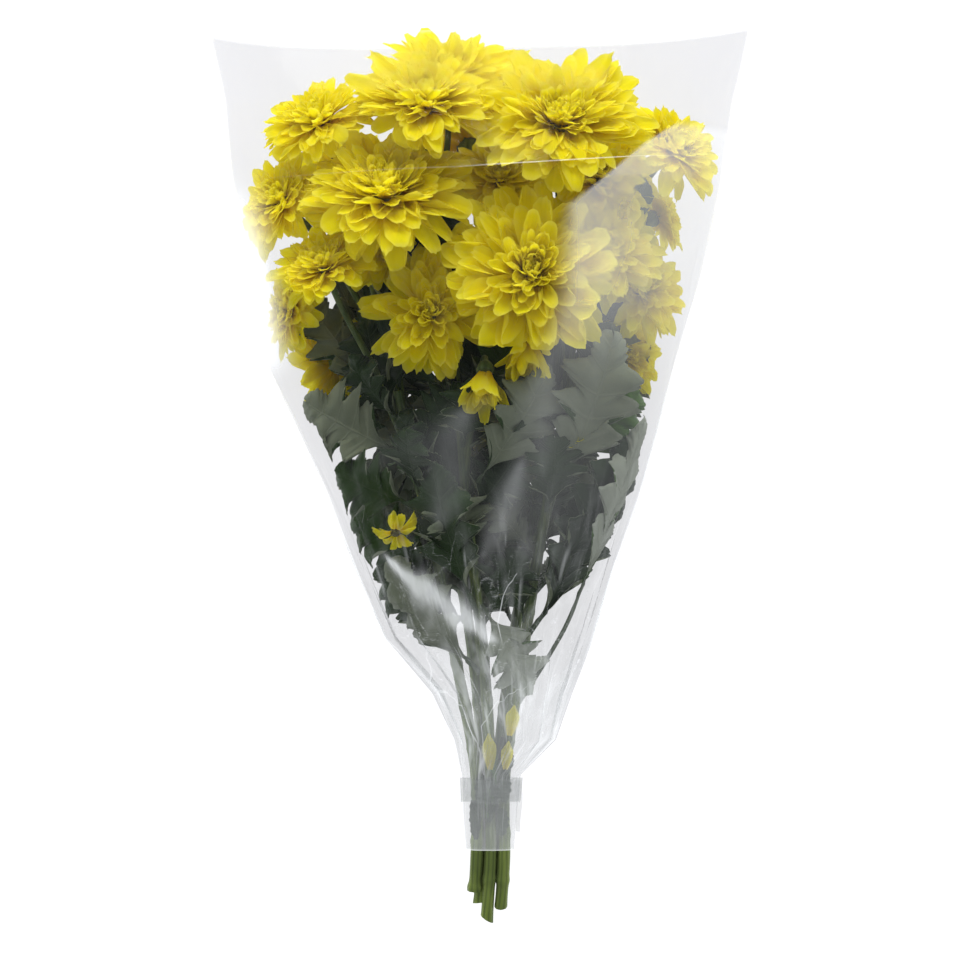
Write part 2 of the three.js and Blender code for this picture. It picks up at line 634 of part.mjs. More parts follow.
// Each leaf: its spray, the y at which it leaves the stem, where its tip is (x, y and how far it
// comes forward, from 0 at the film's back to 1 at its front), its width and its roll in degrees.
// A petiole is the leaf's own stalk, as a share of the leaf's length.
const PETIOLE = 1 / 6;
const LONG_PETIOLE = 0.45;
const LEAVES = [
  { spray: 0, from: 0, tip: [-97, 41, 0.84], width: 54, roll: 20 },
  { spray: 0, from: -16, tip: [-80, 4, 0.7], width: 48, roll: -10 },
  { spray: 0, from: -50, tip: [-71, -20, 0.52], width: 44, roll: 10 },
  { spray: 0, from: -92, tip: [-57, -50, 0.5], width: 38, roll: 0 },
  { spray: 0, from: 20, tip: [-64, 94, 0.5], width: 42, roll: 15 },
  { spray: 1, from: -66, tip: [29, -120, 0.86], width: 38, roll: 0 },
  { spray: 1, from: -112, tip: [-50, -48, 0.84], width: 48, roll: 0 },
  { spray: 1, from: -80, tip: [-26, 6, 0.78], width: 52, roll: -20 },
  { spray: 1, from: -10, tip: [38, 60, 0.76], width: 48, roll: 15 },
  { spray: 1, from: -30, tip: [-22, 50, 0.5], width: 48, roll: 25 },
  { spray: 2, from: -14, tip: [73, 78, 0.8], width: 56, roll: -15 },
  { spray: 2, from: -66, tip: [86, 20, 0.78], width: 52, roll: 0 },
  { spray: 2, from: -92, tip: [62, -8, 0.6], width: 54, roll: 12 },
  { spray: 2, from: 4, tip: [88, 48, 0.55], width: 40, roll: -10 },
  { spray: 2, from: -132, tip: [92, 29, 0.86], width: 36, roll: -10, petiole: LONG_PETIOLE },
  { spray: 3, from: -60, tip: [-58, 16, 0.14], width: 52, roll: 0 },
  { spray: 3, from: 0, tip: [-92, 66, 0.2], width: 46, roll: 10 },
  { spray: 3, from: -90, tip: [-14, -6, 0.25], width: 48, roll: -10 },
  { spray: 4, from: -50, tip: [60, 14, 0.14], width: 52, roll: 0 },
  { spray: 4, from: 6, tip: [94, 74, 0.22], width: 46, roll: -10 },
  { spray: 4, from: -20, tip: [4, 66, 0.1], width: 48, roll: 8 },
  { spray: 4, from: 50, tip: [91, 164, 0.58], width: 38, roll: 0 },
];
const LEAF_COLUMNS = 2;
// Half width of a leaf along its rib, as a share of its greatest, with a lobe at every other place.
const LEAF_OUTLINE = [0.1, 0.2, 0.85, 0.52, 1, 0.5, 0.07];
const LOBE_FORWARD = 0.06; // a lobe's corner points this share of the length toward the tip
const LEAF_FOLD = 0.22; // the halves rise from the rib by this share of their width
const LEAF_ARCH = 0.16; // the rib bows outward by this share of its length
const LEAF_FACE = 1.3; // how much more a leaf faces the front or the back than the side
const LEAF_BOW = 2.2; // bow of the sleeve where a leaf's tip is placed
const BACK_LEAF = 0.4; // leaves whose tips come less far forward than this face the back

function leafTip([x, y, forward]) {
  const ring = ringAt(y);
  const [left, right] = [ring[0].x, ring[RIGHT_SEAM].x];
  const u = THREE.MathUtils.clamp(((x - left) / (right - left)) * 2 - 1, -0.95, 0.95);
  const section = { left, right, back: ring[BACK_MIDDLE].y, front: ring[FRONT_MIDDLE].y, bow: LEAF_BOW };
  const front = ringPoint(section, { u, front: true }).y;
  const back = ringPoint(section, { u, front: false }).y;
  return new THREE.Vector3(x, y, back + forward * (front - back));
}

function leaf(spec, grow) {
  const base = stemAt(spec.spray, spec.from).point;
  const tip = leafTip(spec.tip);
  const length = base.distanceTo(tip);
  const heart = base.clone().lerp(tip, 0.7);
  const outward = heart.clone().sub(axisAt(heart.y)).setY(0).normalize();
  outward.z += spec.tip[2] > BACK_LEAF ? LEAF_FACE : -LEAF_FACE;
  outward.normalize();
  const lift = base.clone().lerp(tip, 0.5).addScaledVector(outward, LEAF_ARCH * length);
  const rib = new THREE.QuadraticBezierCurve3(base, lift, tip);
  const rows = LEAF_OUTLINE.length - 1;
  const roll = THREE.MathUtils.degToRad(spec.roll);
  const petiole = spec.petiole ?? PETIOLE;
  const middleAt = (u, v) => {
    const ribPlace =
      v < PETIOLE ? (v / PETIOLE) * petiole : THREE.MathUtils.mapLinear(v, PETIOLE, 1, petiole, 1);
    const place = ribPlace + ((2 * v - 1) * grow) / length;
    const along = rib.getTangent(ribPlace);
    const across = along.clone().cross(outward).normalize().applyAxisAngle(along, roll);
    const up = across.clone().cross(along).normalize();
    const side = 2 * u - 1;
    const row = Math.min(rows - 1, Math.floor(v * rows));
    const share = THREE.MathUtils.lerp(LEAF_OUTLINE[row], LEAF_OUTLINE[row + 1], v * rows - row);
    const lobe = row % 2 === (v * rows - row < 0.5 ? 0 : 1) && v > 0.25 && v < 0.75 ? 1 : 0;
    const half = (spec.width / 2) * share + grow;
    const point = rib
      .getPoint(place)
      .addScaledVector(across, side * half)
      .addScaledVector(along, lobe * Math.abs(side) * LOBE_FORWARD * length)
      .addScaledVector(up, LEAF_FOLD * Math.abs(side) * half);
    const axis = axisAt(point.y);
    const ray = point.clone().sub(axis);
    const reach = ray.length();
    ray.divideScalar(reach);
    const limit = roomToward(axis, ray, FILM_WALL + FILM_MARGIN + LEAF_THICK);
    return axis.addScaledVector(ray, soften(reach, limit));
  };
  return solid(blade(LEAF_COLUMNS, rows, middleAt, LEAF_THICK + 2 * grow));
}

// ---- Fallen petals, caught on the stems above the tape ----

const FALLEN_SPREAD = [0.35, 1, 0.7];
// Lift is the height of the petal's middle surface above the stem that it rests on.
const FALLEN = [
  { name: "fallen_petal_left", spray: 1, from: -164, to: -142, width: 8, lift: 1.25 },
  { name: "fallen_petal_middle", spray: 2, from: -164, to: -147, width: 7, lift: 1.6 },
  { name: "fallen_petal_right", spray: 2, from: -144, to: -126, width: 8, lift: 1.25 },
];

function fallenPetal({ spray, from, to, width, lift }) {
  const middleAt = (u, v) => {
    const { point, tangent } = stemAt(spray, THREE.MathUtils.lerp(from, to, v));
    const across = tangent.clone().cross(new THREE.Vector3(0, 0, 1)).normalize();
    const up = across.clone().cross(tangent).normalize();
    return point
      .addScaledVector(up, STEM_RADIUS + lift)
      .addScaledVector(across, (u - 0.5) * width * spreadAt(FALLEN_SPREAD, v));
  };
  return solid(blade(1, 2, middleAt, PETAL_THICK));
}

// ---- Fitting the pieces round each other ----

const fatTubes = SPRAYS.map((_, spray) =>
  join([
    stemTube(spray, CUT_GAP),
    ...stalks.filter(({ bloom }) => bloom.spray === spray).map((stalk) => stalkTube(stalk, CUT_GAP)),
  ]),
);
const calyces = stalks.map((stalk) => calyx(stalk, CUT_GAP));
const fatCalyces = (keep) => join(calyces.filter((_, index) => keep(blooms[index])));
const fatLeaves = SPRAYS.map((_, spray) =>
  join(LEAVES.filter((spec) => spec.spray === spray).map((spec) => leaf(spec, CUT_GAP))),
);

function makeSpray(spray) {
  const own = stalks.filter(({ bloom }) => bloom.spray === spray);
  const body = join([
    stemTube(spray, 0),
    ...own.map((stalk) => stalkTube(stalk, 0)),
    ...own.map((stalk) => calyx(stalk, 0)),
    ...LEAVES.filter((spec) => spec.spray === spray).map((spec) => leaf(spec, 0)),
  ]);
  const others = join([
    ...fatTubes.filter((_, other) => other !== spray),
    ...fatLeaves.filter((_, other) => other < spray),
    fatCalyces((bloom) => bloom.spray !== spray),
  ]);
  return largest(body.subtract(others));
}

function fitBloom(bloom) {
  const others = join([...fatTubes, ...fatLeaves, fatCalyces((other) => other !== bloom)]);
  return largest(makeBloom(bloom).subtract(others));
}

// ---- The bunch ----

const finish = (color, roughness, more = {}) =>
  new THREE.MeshStandardMaterial({ color, roughness, metalness: 0, flatShading: true, ...more });

const film = finish(0xebedf2, 0.15, { transparent: true, opacity: 0.25 });
const tape = finish(0xdfe3e6, 0.25, { transparent: true, opacity: 0.45 });
const green = finish(0x4a6b35, 0.6);
const yellow = finish(0xf0dc1e, 0.55);

const SIMPLIFY = 0.02;

function meshOf(name, made, material) {
  const clean = made.simplify(SIMPLIFY).getMesh();
  const geometry = new THREE.BufferGeometry();
  geometry.setAttribute("position", new THREE.BufferAttribute(clean.vertProperties, 3));
  geometry.setIndex(new THREE.BufferAttribute(clean.triVerts, 1));
  const mesh = new THREE.Mesh(geometry, material);
  mesh.name = name;
  return mesh;
}

const bunch = new THREE.Group();
bunch.add(meshOf("film_sleeve", makeSleeve(), film));
bunch.add(meshOf("tape_band", makeTape(), tape));
SPRAYS.forEach((spray, index) => {
  const group = new THREE.Group();
  group.add(meshOf(spray.name, makeSpray(index), green));
  for (const bloom of blooms.filter((one) => one.spray === index)) {
    group.add(meshOf(bloom.name, fitBloom(bloom), yellow));
  }
  bunch.add(group);
});
for (const petalSpec of FALLEN) bunch.add(meshOf(petalSpec.name, fallenPetal(petalSpec), yellow));

export default bunch;
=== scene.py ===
"""A bunch of yellow spray chrysanthemums in an open sleeve of clear film, seen from straight above."""
import math

import bpy
import numpy as np
from mathutils import Matrix


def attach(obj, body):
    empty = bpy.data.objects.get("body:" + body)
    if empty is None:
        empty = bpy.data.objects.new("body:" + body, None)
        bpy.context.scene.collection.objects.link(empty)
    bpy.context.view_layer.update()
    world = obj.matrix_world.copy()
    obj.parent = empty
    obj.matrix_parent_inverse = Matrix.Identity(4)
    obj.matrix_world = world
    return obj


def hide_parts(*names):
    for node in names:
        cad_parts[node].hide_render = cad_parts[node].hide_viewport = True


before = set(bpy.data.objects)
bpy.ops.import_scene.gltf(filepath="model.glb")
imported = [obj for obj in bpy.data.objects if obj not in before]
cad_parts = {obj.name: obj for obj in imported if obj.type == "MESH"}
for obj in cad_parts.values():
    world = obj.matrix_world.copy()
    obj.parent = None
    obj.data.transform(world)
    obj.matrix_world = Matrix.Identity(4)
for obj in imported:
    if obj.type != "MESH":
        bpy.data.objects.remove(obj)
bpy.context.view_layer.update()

MM = 0.001
GOLDEN = math.pi * (3 - math.sqrt(5))

# ---------------------------------------------------------------- small tools (millimetres)


def unit(a):
    a = np.asarray(a, float)
    return a / (np.linalg.norm(a, axis=-1, keepdims=True) + 1e-12)


def smooth(x, low, high):
    t = np.clip((np.asarray(x, float) - low) / (high - low), 0, 1)
    return t * t * (3 - 2 * t)


def blend(a, b, t):
    return a + (b - a) * t


def basis(facing, spin=0.0):
    """Columns: two axes across a direction, and the direction itself."""
    z = unit(facing)
    side = np.array([1.0, 0, 0]) if abs(z[0]) < 0.8 else np.array([0, 1.0, 0])
    x = unit(np.cross(side, z))
    y = np.cross(z, x)
    c, s = math.cos(spin), math.sin(spin)
    return np.stack([c * x + s * y, -s * x + c * y, z], axis=1)


def patch_uv(rows, columns):
    """u from -1 to 1 across and v from 0 to 1 along a patch of points."""
    return np.linspace(-1, 1, columns)[None], np.linspace(0, 1, rows)[:, None]


def add_object(name, data):
    made = bpy.data.objects.new(name, data)
    bpy.context.scene.collection.objects.link(made)
    return made


def grid_faces(rows, columns, wraps=False):
    """Quads of a grid of points with this many rows and columns of points."""
    last = columns if wraps else columns - 1
    r, c = np.meshgrid(np.arange(rows - 1), np.arange(last), indexing="ij")
    right = (c + 1) % columns
    low, high = r * columns, (r + 1) * columns
    return np.stack([low + c, low + right, high + right, high + c], -1).reshape(-1, 4)


def tube_faces(rows, sides, first=True):
    """Quads round a tube of points, a face over its last end and, if asked, one over its first."""
    faces = [grid_faces(rows, sides, True), ((rows - 1) * sides + np.arange(sides))[None]]
    return [*faces, np.arange(sides)[None, ::-1]] if first else faces


class Shape:
    """Collects patches of points, faces, attributes and material numbers into one mesh."""

    def __init__(self):
        self.points, self.faces, self.which, self.values = [], [], [], {}
        self.count = 0

    def add(self, points, faces, which=0, **values):
        points = np.asarray(points, float)
        grid = points.shape[:-1]
        self.points.append(points.reshape(-1, 3))
        for f in faces if isinstance(faces, list) else [faces]:
            f = np.asarray(f)
            self.faces.append(f + self.count)
            self.which.append(np.full(len(f), which))
        for key, value in values.items():
            spread = np.broadcast_to(np.asarray(value, float), grid).ravel()
            self.values.setdefault(key, []).append((self.count, spread))
        self.count += math.prod(grid)

    def build(self, name, materials, replaces):
        mesh = bpy.data.meshes.new(name)
        points = np.concatenate(self.points) * MM
        faces = [row for f in self.faces for row in f.tolist()]
        mesh.from_pydata(points.tolist(), [], faces)
        mesh.polygons.foreach_set("material_index", np.concatenate(self.which).astype(np.int32))
        mesh.polygons.foreach_set("use_smooth", np.full(len(faces), True))
        for key, chunks in self.values.items():
            data = np.zeros(self.count, np.float32)
            for start, value in chunks:
                data[start : start + len(value)] = value
            mesh.attributes.new(key, "FLOAT", "POINT").data.foreach_set("value", data)
        mesh.update()
        piece = add_object(name, mesh)
        for material in materials:
            mesh.materials.append(material)
        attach(piece, "root")
        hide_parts(*replaces)
        return piece


# ---------------------------------------------------------------- sleeve shape

SLEEVE = np.array(
    [  # y, left, right, back, front, bow
        (-212, -8.5, 20, 1.3, 19.6, 3.5),
        (-190.6, -10, 21.7, 1.3, 20.2, 3.5),
        (-169.5, -10.7, 23.9, 1.3, 24, 3.2),
        (-149, -15, 43.9, 0.6, 40, 2.8),
        (-122.2, -27.8, 52.8, 0, 55, 2.5),
        (-90.6, -54.5, 64.4, 0, 72, 2.3),
        (-54, -69, 76.3, 0, 94, 2.2),
        (-11, -85.6, 90.4, 0, 120, 2.2),
        (33, -104.2, 102.3, 0, 140, 2.2),
        (74, -124.2, 113.3, 0, 150, 2.2),
        (107, -129, 122, 0, 153, 2.2),
        (165.6, -139.6, 135.9, 0, 150, 2.2),
        (213.3, -145, 143, 0, 130, 2.2),
        (250.8, -153.5, 153.5, 0, 105, 2.2),
    ],
    float,
)
NECK_END, MOUTH_END = SLEEVE[0, 0], SLEEVE[-1, 0]
OPEN_FROM = 246  # petals may stand out of the mouth from here on
SEAM_HEIGHT = 0.45
BACK_FLAT = 0.4
MOUTH_TILT = 2.2
MOUTH_LIFT = 1.5
MOUTH_SAG_FRONT = 4.5
MOUTH_SAG_BACK = 2.5
TAPE_LOW = -184.5
TAPE_HIGH = -170.6
GATHER_Y = [-190.6, -169.5, -149, -122.2, -90.6, -54, -11, 33]
GATHER_DEPTH = [0, 0.5, 2.4, 4, 4, 3, 1.4, 0]
RIGHT_PLACES = [0.15, 0.3, 0.45, 0.6, 0.74, 0.86, 0.95, 1]
FRONT_PLACES = [-u for u in reversed(RIGHT_PLACES)] + [0] + RIGHT_PLACES


def section_at(y):
    return [np.interp(y, SLEEVE[:, 0], SLEEVE[:, k]) for k in range(1, 6)]


def ring_point(y, u, front):
    """x and z of the sleeve at y, with u from -1 at its left seam to 1 at its right one."""
    left, right, back, top, bow = section_at(y)
    seam = back + SEAM_HEIGHT * (top - back)
    above = seam + (top - seam) * np.clip(1 - np.abs(u) ** bow, 0, 1) ** 0.55
    inward = np.minimum(1, (1 - np.abs(u)) / (1 - BACK_FLAT))
    below = seam + (back - seam) * (1 - (1 - inward) ** 1.8)
    return left + (right - left) / 2 * (1 + u), np.where(front, above, below)


HALF_RING = np.cos(np.linspace(0, math.pi, 25))
RING_U = np.concatenate([-HALF_RING, HALF_RING[1:-1]])
RING_FRONT = np.arange(len(RING_U)) < len(HALF_RING)
RING_STEP = 2.0
RING_Y = np.arange(NECK_END, MOUTH_END + 1, RING_STEP)


def make_rings():
    x, z = ring_point(RING_Y[:, None], RING_U[None], RING_FRONT)
    nx, nz = np.roll(x, -1, 1) - x, np.roll(z, -1, 1) - z
    length = np.hypot(nx, nz) + 1e-9
    inward_x, inward_z = nz / length, -nx / length
    return inward_x, inward_z, inward_x * x + inward_z * z


RING_NX, RING_NZ, RING_D = make_rings()


def film_distance(p):
    """How far points inside the sleeve are from the film. Past the mouth nothing is near."""
    p = np.asarray(p, float)
    shape = p.shape[:-1]
    q = p.reshape(-1, 3)
    k = np.clip(np.round((q[:, 1] - RING_Y[0]) / RING_STEP).astype(int), 0, len(RING_Y) - 1)
    d = (RING_NX[k] * q[:, :1] + RING_NZ[k] * q[:, 2:] - RING_D[k]).min(1)
    d = d - np.interp(q[:, 1], GATHER_Y, GATHER_DEPTH)
    d[q[:, 1] > OPEN_FROM] = 100
    return d.reshape(shape)


def axis_at(y):
    left, right, back, top, _ = section_at(y)
    return np.stack([(left + right) / 2, np.broadcast_to(y, np.shape(left)), (top + back) / 2], -1)


def soften(length, limit, free):
    """Leaves a length as it is up to a share of its limit, and bends it toward the limit from there."""
    start = free * limit
    over = np.maximum(length - start, 0)
    room = np.maximum(limit - start, 1e-6)
    return np.where(length <= start, length, start + room * (1 - np.exp(-over / room)))


def room_toward(origin, rays, margin, furthest=160.0):
    """Length of each ray from an origin until the film is nearer than the margin."""
    low = np.zeros(rays.shape[:-1])
    high = np.full(rays.shape[:-1], furthest)
    for _ in range(9):
        middle = (low + high) / 2
        free = film_distance(origin + rays * middle[..., None]) > margin
        low = np.where(free, middle, low)
        high = np.where(free, high, middle)
    return np.maximum(low, 0.5)


def keep_inside(points, margin):
    """Draws points that are too near the film smoothly back toward the sleeve's middle."""
    points = np.asarray(points, float)
    near = film_distance(points) < margin + 14
    if near.any():
        p = points[near]
        axis = axis_at(p[:, 1])
        ray = p - axis
        reach = np.linalg.norm(ray, axis=-1)
        ray = ray / (reach[:, None] + 1e-9)
        limit = room_toward(axis, ray, margin)
        points[near] = axis + ray * soften(reach, limit, 0.93)[:, None]
    return points


# ---------------------------------------------------------------- sprays

NECK_X, PITCH, NECK_LOW_Z = 6.0, 7.9, 6.4
NECK_HIGH_Z = NECK_LOW_Z + PITCH * math.sin(math.pi / 3)
SPRAYS = [  # name, cut end, offset in the neck, high row, path
    ("left", (-3, -236, 7), -1, True, [(-14, -100, 38), (-30, -20, 66), (-46, 50, 80)]),
    ("middle", (4, -252.2, 6), 0, True, [(2, -100, 44), (-8, -10, 76), (-12, 50, 84)]),
    ("right", (12, -245, 7), 1, True, [(24, -100, 38), (38, -10, 68), (50, 50, 80)]),
    ("back_left", (0, -243, 4.4), -0.5, False, [(-4, -100, 18), (-22, 0, 36), (-38, 70, 48)]),
    ("back_right", (11.5, -231, 6.6), 0.5, False, [(18, -100, 18), (34, 0, 36), (44, 70, 48)]),
]
STEM_RADIUS, STEM_TOP_RADIUS, BRANCH_RADIUS, STALK_RADIUS = 3.7, 2.8, 2.3, 1.7

BLOOMS = [  # name, spray, middle, radius, facing, form
    ("bloom_left_large", 0, (-51.5, 158, 103), 50, (-0.05, 0.72, 0.69), "full"),
    ("bloom_left_top", 0, (-89, 199.5, 84), 32, (-0.3, 0.76, 0.56), "half"),
    ("bloom_left_outer", 0, (-110, 155, 82), 28, (-0.55, 0.48, 0.68), "half"),
    ("bloom_left_middle", 0, (-86, 117, 102), 28.5, (-0.3, 0.74, 0.58), "half"),
    ("bloom_left_edge", 0, (-108, 95, 60), 24, (-0.6, 0.1, 0.5), "half"),
    ("bloom_small_left", 0, (-47, -29, 82), 11, (0, -0.6, 0.8), "small"),
    ("bloom_top_middle", 1, (-30, 208, 98), 41, (0, 0.8, 0.6), "full"),
    ("bloom_centre_large", 1, (28, 114, 119), 50, (0.02, 0.28, 0.96), "full"),
    ("bloom_centre_low", 1, (-27, 92, 104), 33, (-0.05, 0.1, 0.99), "half"),
    ("bloom_centre_left", 1, (-57, 133, 80), 28, (0, 0.3, 0.9), "half"),
    ("bud_hanging", 1, (2.5, 57, 108), 20, (-0.1, -0.9, 0.4), "bud"),
    ("bloom_right_top", 2, (44, 197, 104), 48, (0.05, 0.69, 0.72), "full"),
    ("bloom_right_middle", 2, (69, 127, 94), 33, (0.3, 0.3, 0.9), "half"),
    ("bloom_right_low", 2, (90, 106, 70), 29, (0.45, 0.35, 0.8), "half"),
    ("bloom_right_lowest", 2, (82, 70, 60), 22, (0.3, 0.1, 0.6), "half"),
    ("bloom_half_open", 2, (25, 75, 107), 20, (0.1, -0.8, 0.55), "bud"),
    ("bud_right_low", 2, (51, 22, 84), 8, (0.1, 0.3, 0.9), "bud"),
    ("bloom_top_back", 3, (-17.5, 224, 60), 44, (0, 0.82, 0.57), "full"),
    ("bloom_left_low", 3, (-82, 65.5, 46), 25.5, (-0.3, 0, -0.5), "half"),
    ("bloom_back_left", 3, (-75, 172, 38), 30, (-0.3, 0.5, -0.8), "rear"),
    ("bloom_back_middle", 3, (-5, 190, 36), 34, (0, 0.55, -0.83), "rear"),
    ("bloom_back_low_left", 3, (-33, 122, 34), 31, (-0.1, 0.1, -1), "rear"),
    ("bloom_right_inner", 4, (65.5, 168, 82), 31, (0.2, 0.5, 0.8), "half"),
    ("bloom_right_outer", 4, (107, 185, 74), 29, (0.5, 0.6, 0.6), "half"),
    ("bloom_right_edge", 4, (101, 149, 48), 20, (0.7, 0.3, -0.2), "half"),
    ("bloom_middle_inner", 4, (11, 167, 84), 29, (0, 0.5, 0.85), "half"),
    ("bloom_back_right", 4, (67, 183, 38), 31, (0.3, 0.5, -0.8), "rear"),
    ("bloom_back_low_right", 4, (42, 116, 34), 31, (0.1, 0.1, -1), "rear"),
]
AT = np.array([b[2] for b in BLOOMS], float)
RADIUS = np.array([b[3] for b in BLOOMS], float)
FACING = unit([b[4] for b in BLOOMS])
OWNER = np.array([b[1] for b in BLOOMS])
CORE_DEPTH, CALYX_RADIUS, TOUCH = 0.16, 0.24, 0.3


def spaced(points, count):
    """Points at even distances along a dense path."""
    steps = np.linalg.norm(np.diff(points, axis=0), axis=1)
    run = np.concatenate([[0], np.cumsum(steps)])
    at = np.linspace(0, run[-1], count)
    return np.stack([np.interp(at, run, points[:, k]) for k in range(3)], 1)


def catmull(points, count):
    """A centripetal Catmull-Rom curve through points."""
    p = np.asarray(points, float)
    p = np.concatenate([[2 * p[0] - p[1]], p, [2 * p[-1] - p[-2]]])
    out = []
    t = np.linspace(0, 1, 60, endpoint=False)[:, None]
    for i in range(1, len(p) - 2):
        a, b, c, d = p[i - 1 : i + 3]
        ta, tb, tc = (np.linalg.norm(y - x) ** 0.5 for x, y in ((a, b), (b, c), (c, d)))
        m1 = ((b - a) / ta - (c - a) / (ta + tb) + (c - b) / tb) * tb
        m2 = ((c - b) / tb - (d - b) / (tb + tc) + (d - c) / tc) * tb
        out.append(b + m1 * t + (3 * (c - b) - 2 * m1 - m2) * t**2 + (2 * (b - c) + m1 + m2) * t**3)
    out.append(p[-2:-1])
    return spaced(np.concatenate(out), count)


def stem_curves():
    curves = []
    for _, end, offset, high, path in SPRAYS:
        x, z = NECK_X + offset * PITCH, NECK_HIGH_Z if high else NECK_LOW_Z
        curves.append(catmull([end, (x, -214, z), (x, -172, z), *path], 241))
    return curves


STEMS = stem_curves()


def stem_at(spray, y):
    curve = STEMS[spray]
    point = np.array([np.interp(y, curve[:, 1], curve[:, k]) for k in range(3)])
    k = int(np.clip(np.searchsorted(curve[:, 1], y), 2, len(curve) - 3))
    return point, unit(curve[k + 2] - curve[k - 2])


def along_stem(spray, low, high, rows):
    """Points on a stem between two heights, with its direction, its side and its top there."""
    path = np.array([stem_at(spray, y)[0] for y in np.linspace(low, high, rows)])
    tangent = unit(np.gradient(path, axis=0))
    across = unit(np.cross(tangent, [0, 0, 1.0]))
    return path, tangent, across, np.cross(across, tangent)


def calyx_height(i):
    return 3 + 0.14 * RADIUS[i]


def bezier(points, count):
    a, b, c, d = (np.asarray(p, float) for p in points)
    t = np.linspace(0, 1, 80)[:, None]
    dense = a * (1 - t) ** 3 + 3 * b * t * (1 - t) ** 2 + 3 * c * t * t * (1 - t) + d * t**3
    return spaced(dense, count)


STALK_POINTS = 8
SAMPLES = 4  # on each length between two points of a stalk
STEM_GAP, STALK_GAP, BLOOM_SHARE, FILM_GAP = 8.0, 6.6, 0.42, 6.8  # what a stalk keeps clear of


def stalk_path(i):
    top, _ = stem_at(OWNER[i], 46)
    join = np.clip(AT[i][1] - 0.75 * np.linalg.norm(AT[i] - top) - 45, -75, 46)
    start, tangent = stem_at(OWNER[i], join)
    end = AT[i] - FACING[i] * (CORE_DEPTH * RADIUS[i] + TOUCH + 0.7 * calyx_height(i))
    length = np.linalg.norm(end - start)
    middle = start + tangent * 0.35 * length, end - FACING[i] * 0.38 * length
    return bezier((start, *middle, end), STALK_POINTS)


def bend_clear(stalks):
    """Bends the stalks clear of the other sprays' stems, of the blooms and of the film."""
    rest = stalks.copy()
    count = len(stalks)
    each = (STALK_POINTS - 1) * SAMPLES
    s4 = (np.arange(SAMPLES) / SAMPLES)[None, None, :, None]
    part = np.arange(3)[None, :, None] / 3
    stems = [spaced(curve, 41) for curve in STEMS]
    stems = [(s[:-1, None] * (1 - part) + s[1:, None] * part).reshape(-1, 3) for s in stems]
    stem_points = np.concatenate(stems)
    stem_owner = np.repeat(np.arange(len(stems)), [len(s) for s in stems])
    owner = np.repeat(OWNER, each)[:, None]
    whose = np.repeat(np.arange(count), each)[:, None]
    stem_need, stalk_need = np.full(len(stem_points), STEM_GAP), np.full(len(owner), STALK_GAP)
    need = np.concatenate([stem_need, stalk_need, BLOOM_SHARE * RADIUS + BRANCH_RADIUS])
    skip = np.concatenate([owner == stem_owner, owner == owner.T, whose == np.arange(count)], 1)
    for _ in range(90):
        samples = (stalks[:, :-1, None] * (1 - s4) + stalks[:, 1:, None] * s4).reshape(-1, 3)
        others = np.concatenate([stem_points, samples, AT])
        square = (samples**2).sum(1)[:, None] + (others**2).sum(1) - 2 * samples @ others.T
        distance = np.sqrt(np.maximum(square, 0)) + 1e-6
        weight = np.where((distance < need) & ~skip, (need - distance) / distance / 2, 0)
        gap = samples * weight.sum(1)[:, None] - weight @ others
        gap = gap.reshape(count, STALK_POINTS - 1, SAMPLES, 3)
        push = np.zeros_like(stalks)
        push[:, :-1] += (gap * (1 - s4)).sum(2)
        push[:, 1:] += (gap * s4).sum(2)
        size = np.linalg.norm(push, axis=-1, keepdims=True)
        push *= np.minimum(1, 2 / (size + 1e-9))
        stalks[:, 1 : STALK_POINTS - 2] += push[:, 1 : STALK_POINTS - 2]
        for _ in range(6):
            inner = stalks[:, 1 : STALK_POINTS - 2]
            near = film_distance(inner) < FILM_GAP
            inner[near] = blend(inner[near], axis_at(inner[near][:, 1]), 0.05)
        for k in range(1, STALK_POINTS - 1):
            shift = stalks - rest
            calm = (shift[:, k - 1] + shift[:, k + 1]) * 0.25 + shift[:, k] * 0.49
            stalks[:, k] = rest[:, k] + calm
    return stalks


STALKS = bend_clear(np.array([stalk_path(i) for i in range(len(BLOOMS))]))

# ---------------------------------------------------------------- materials


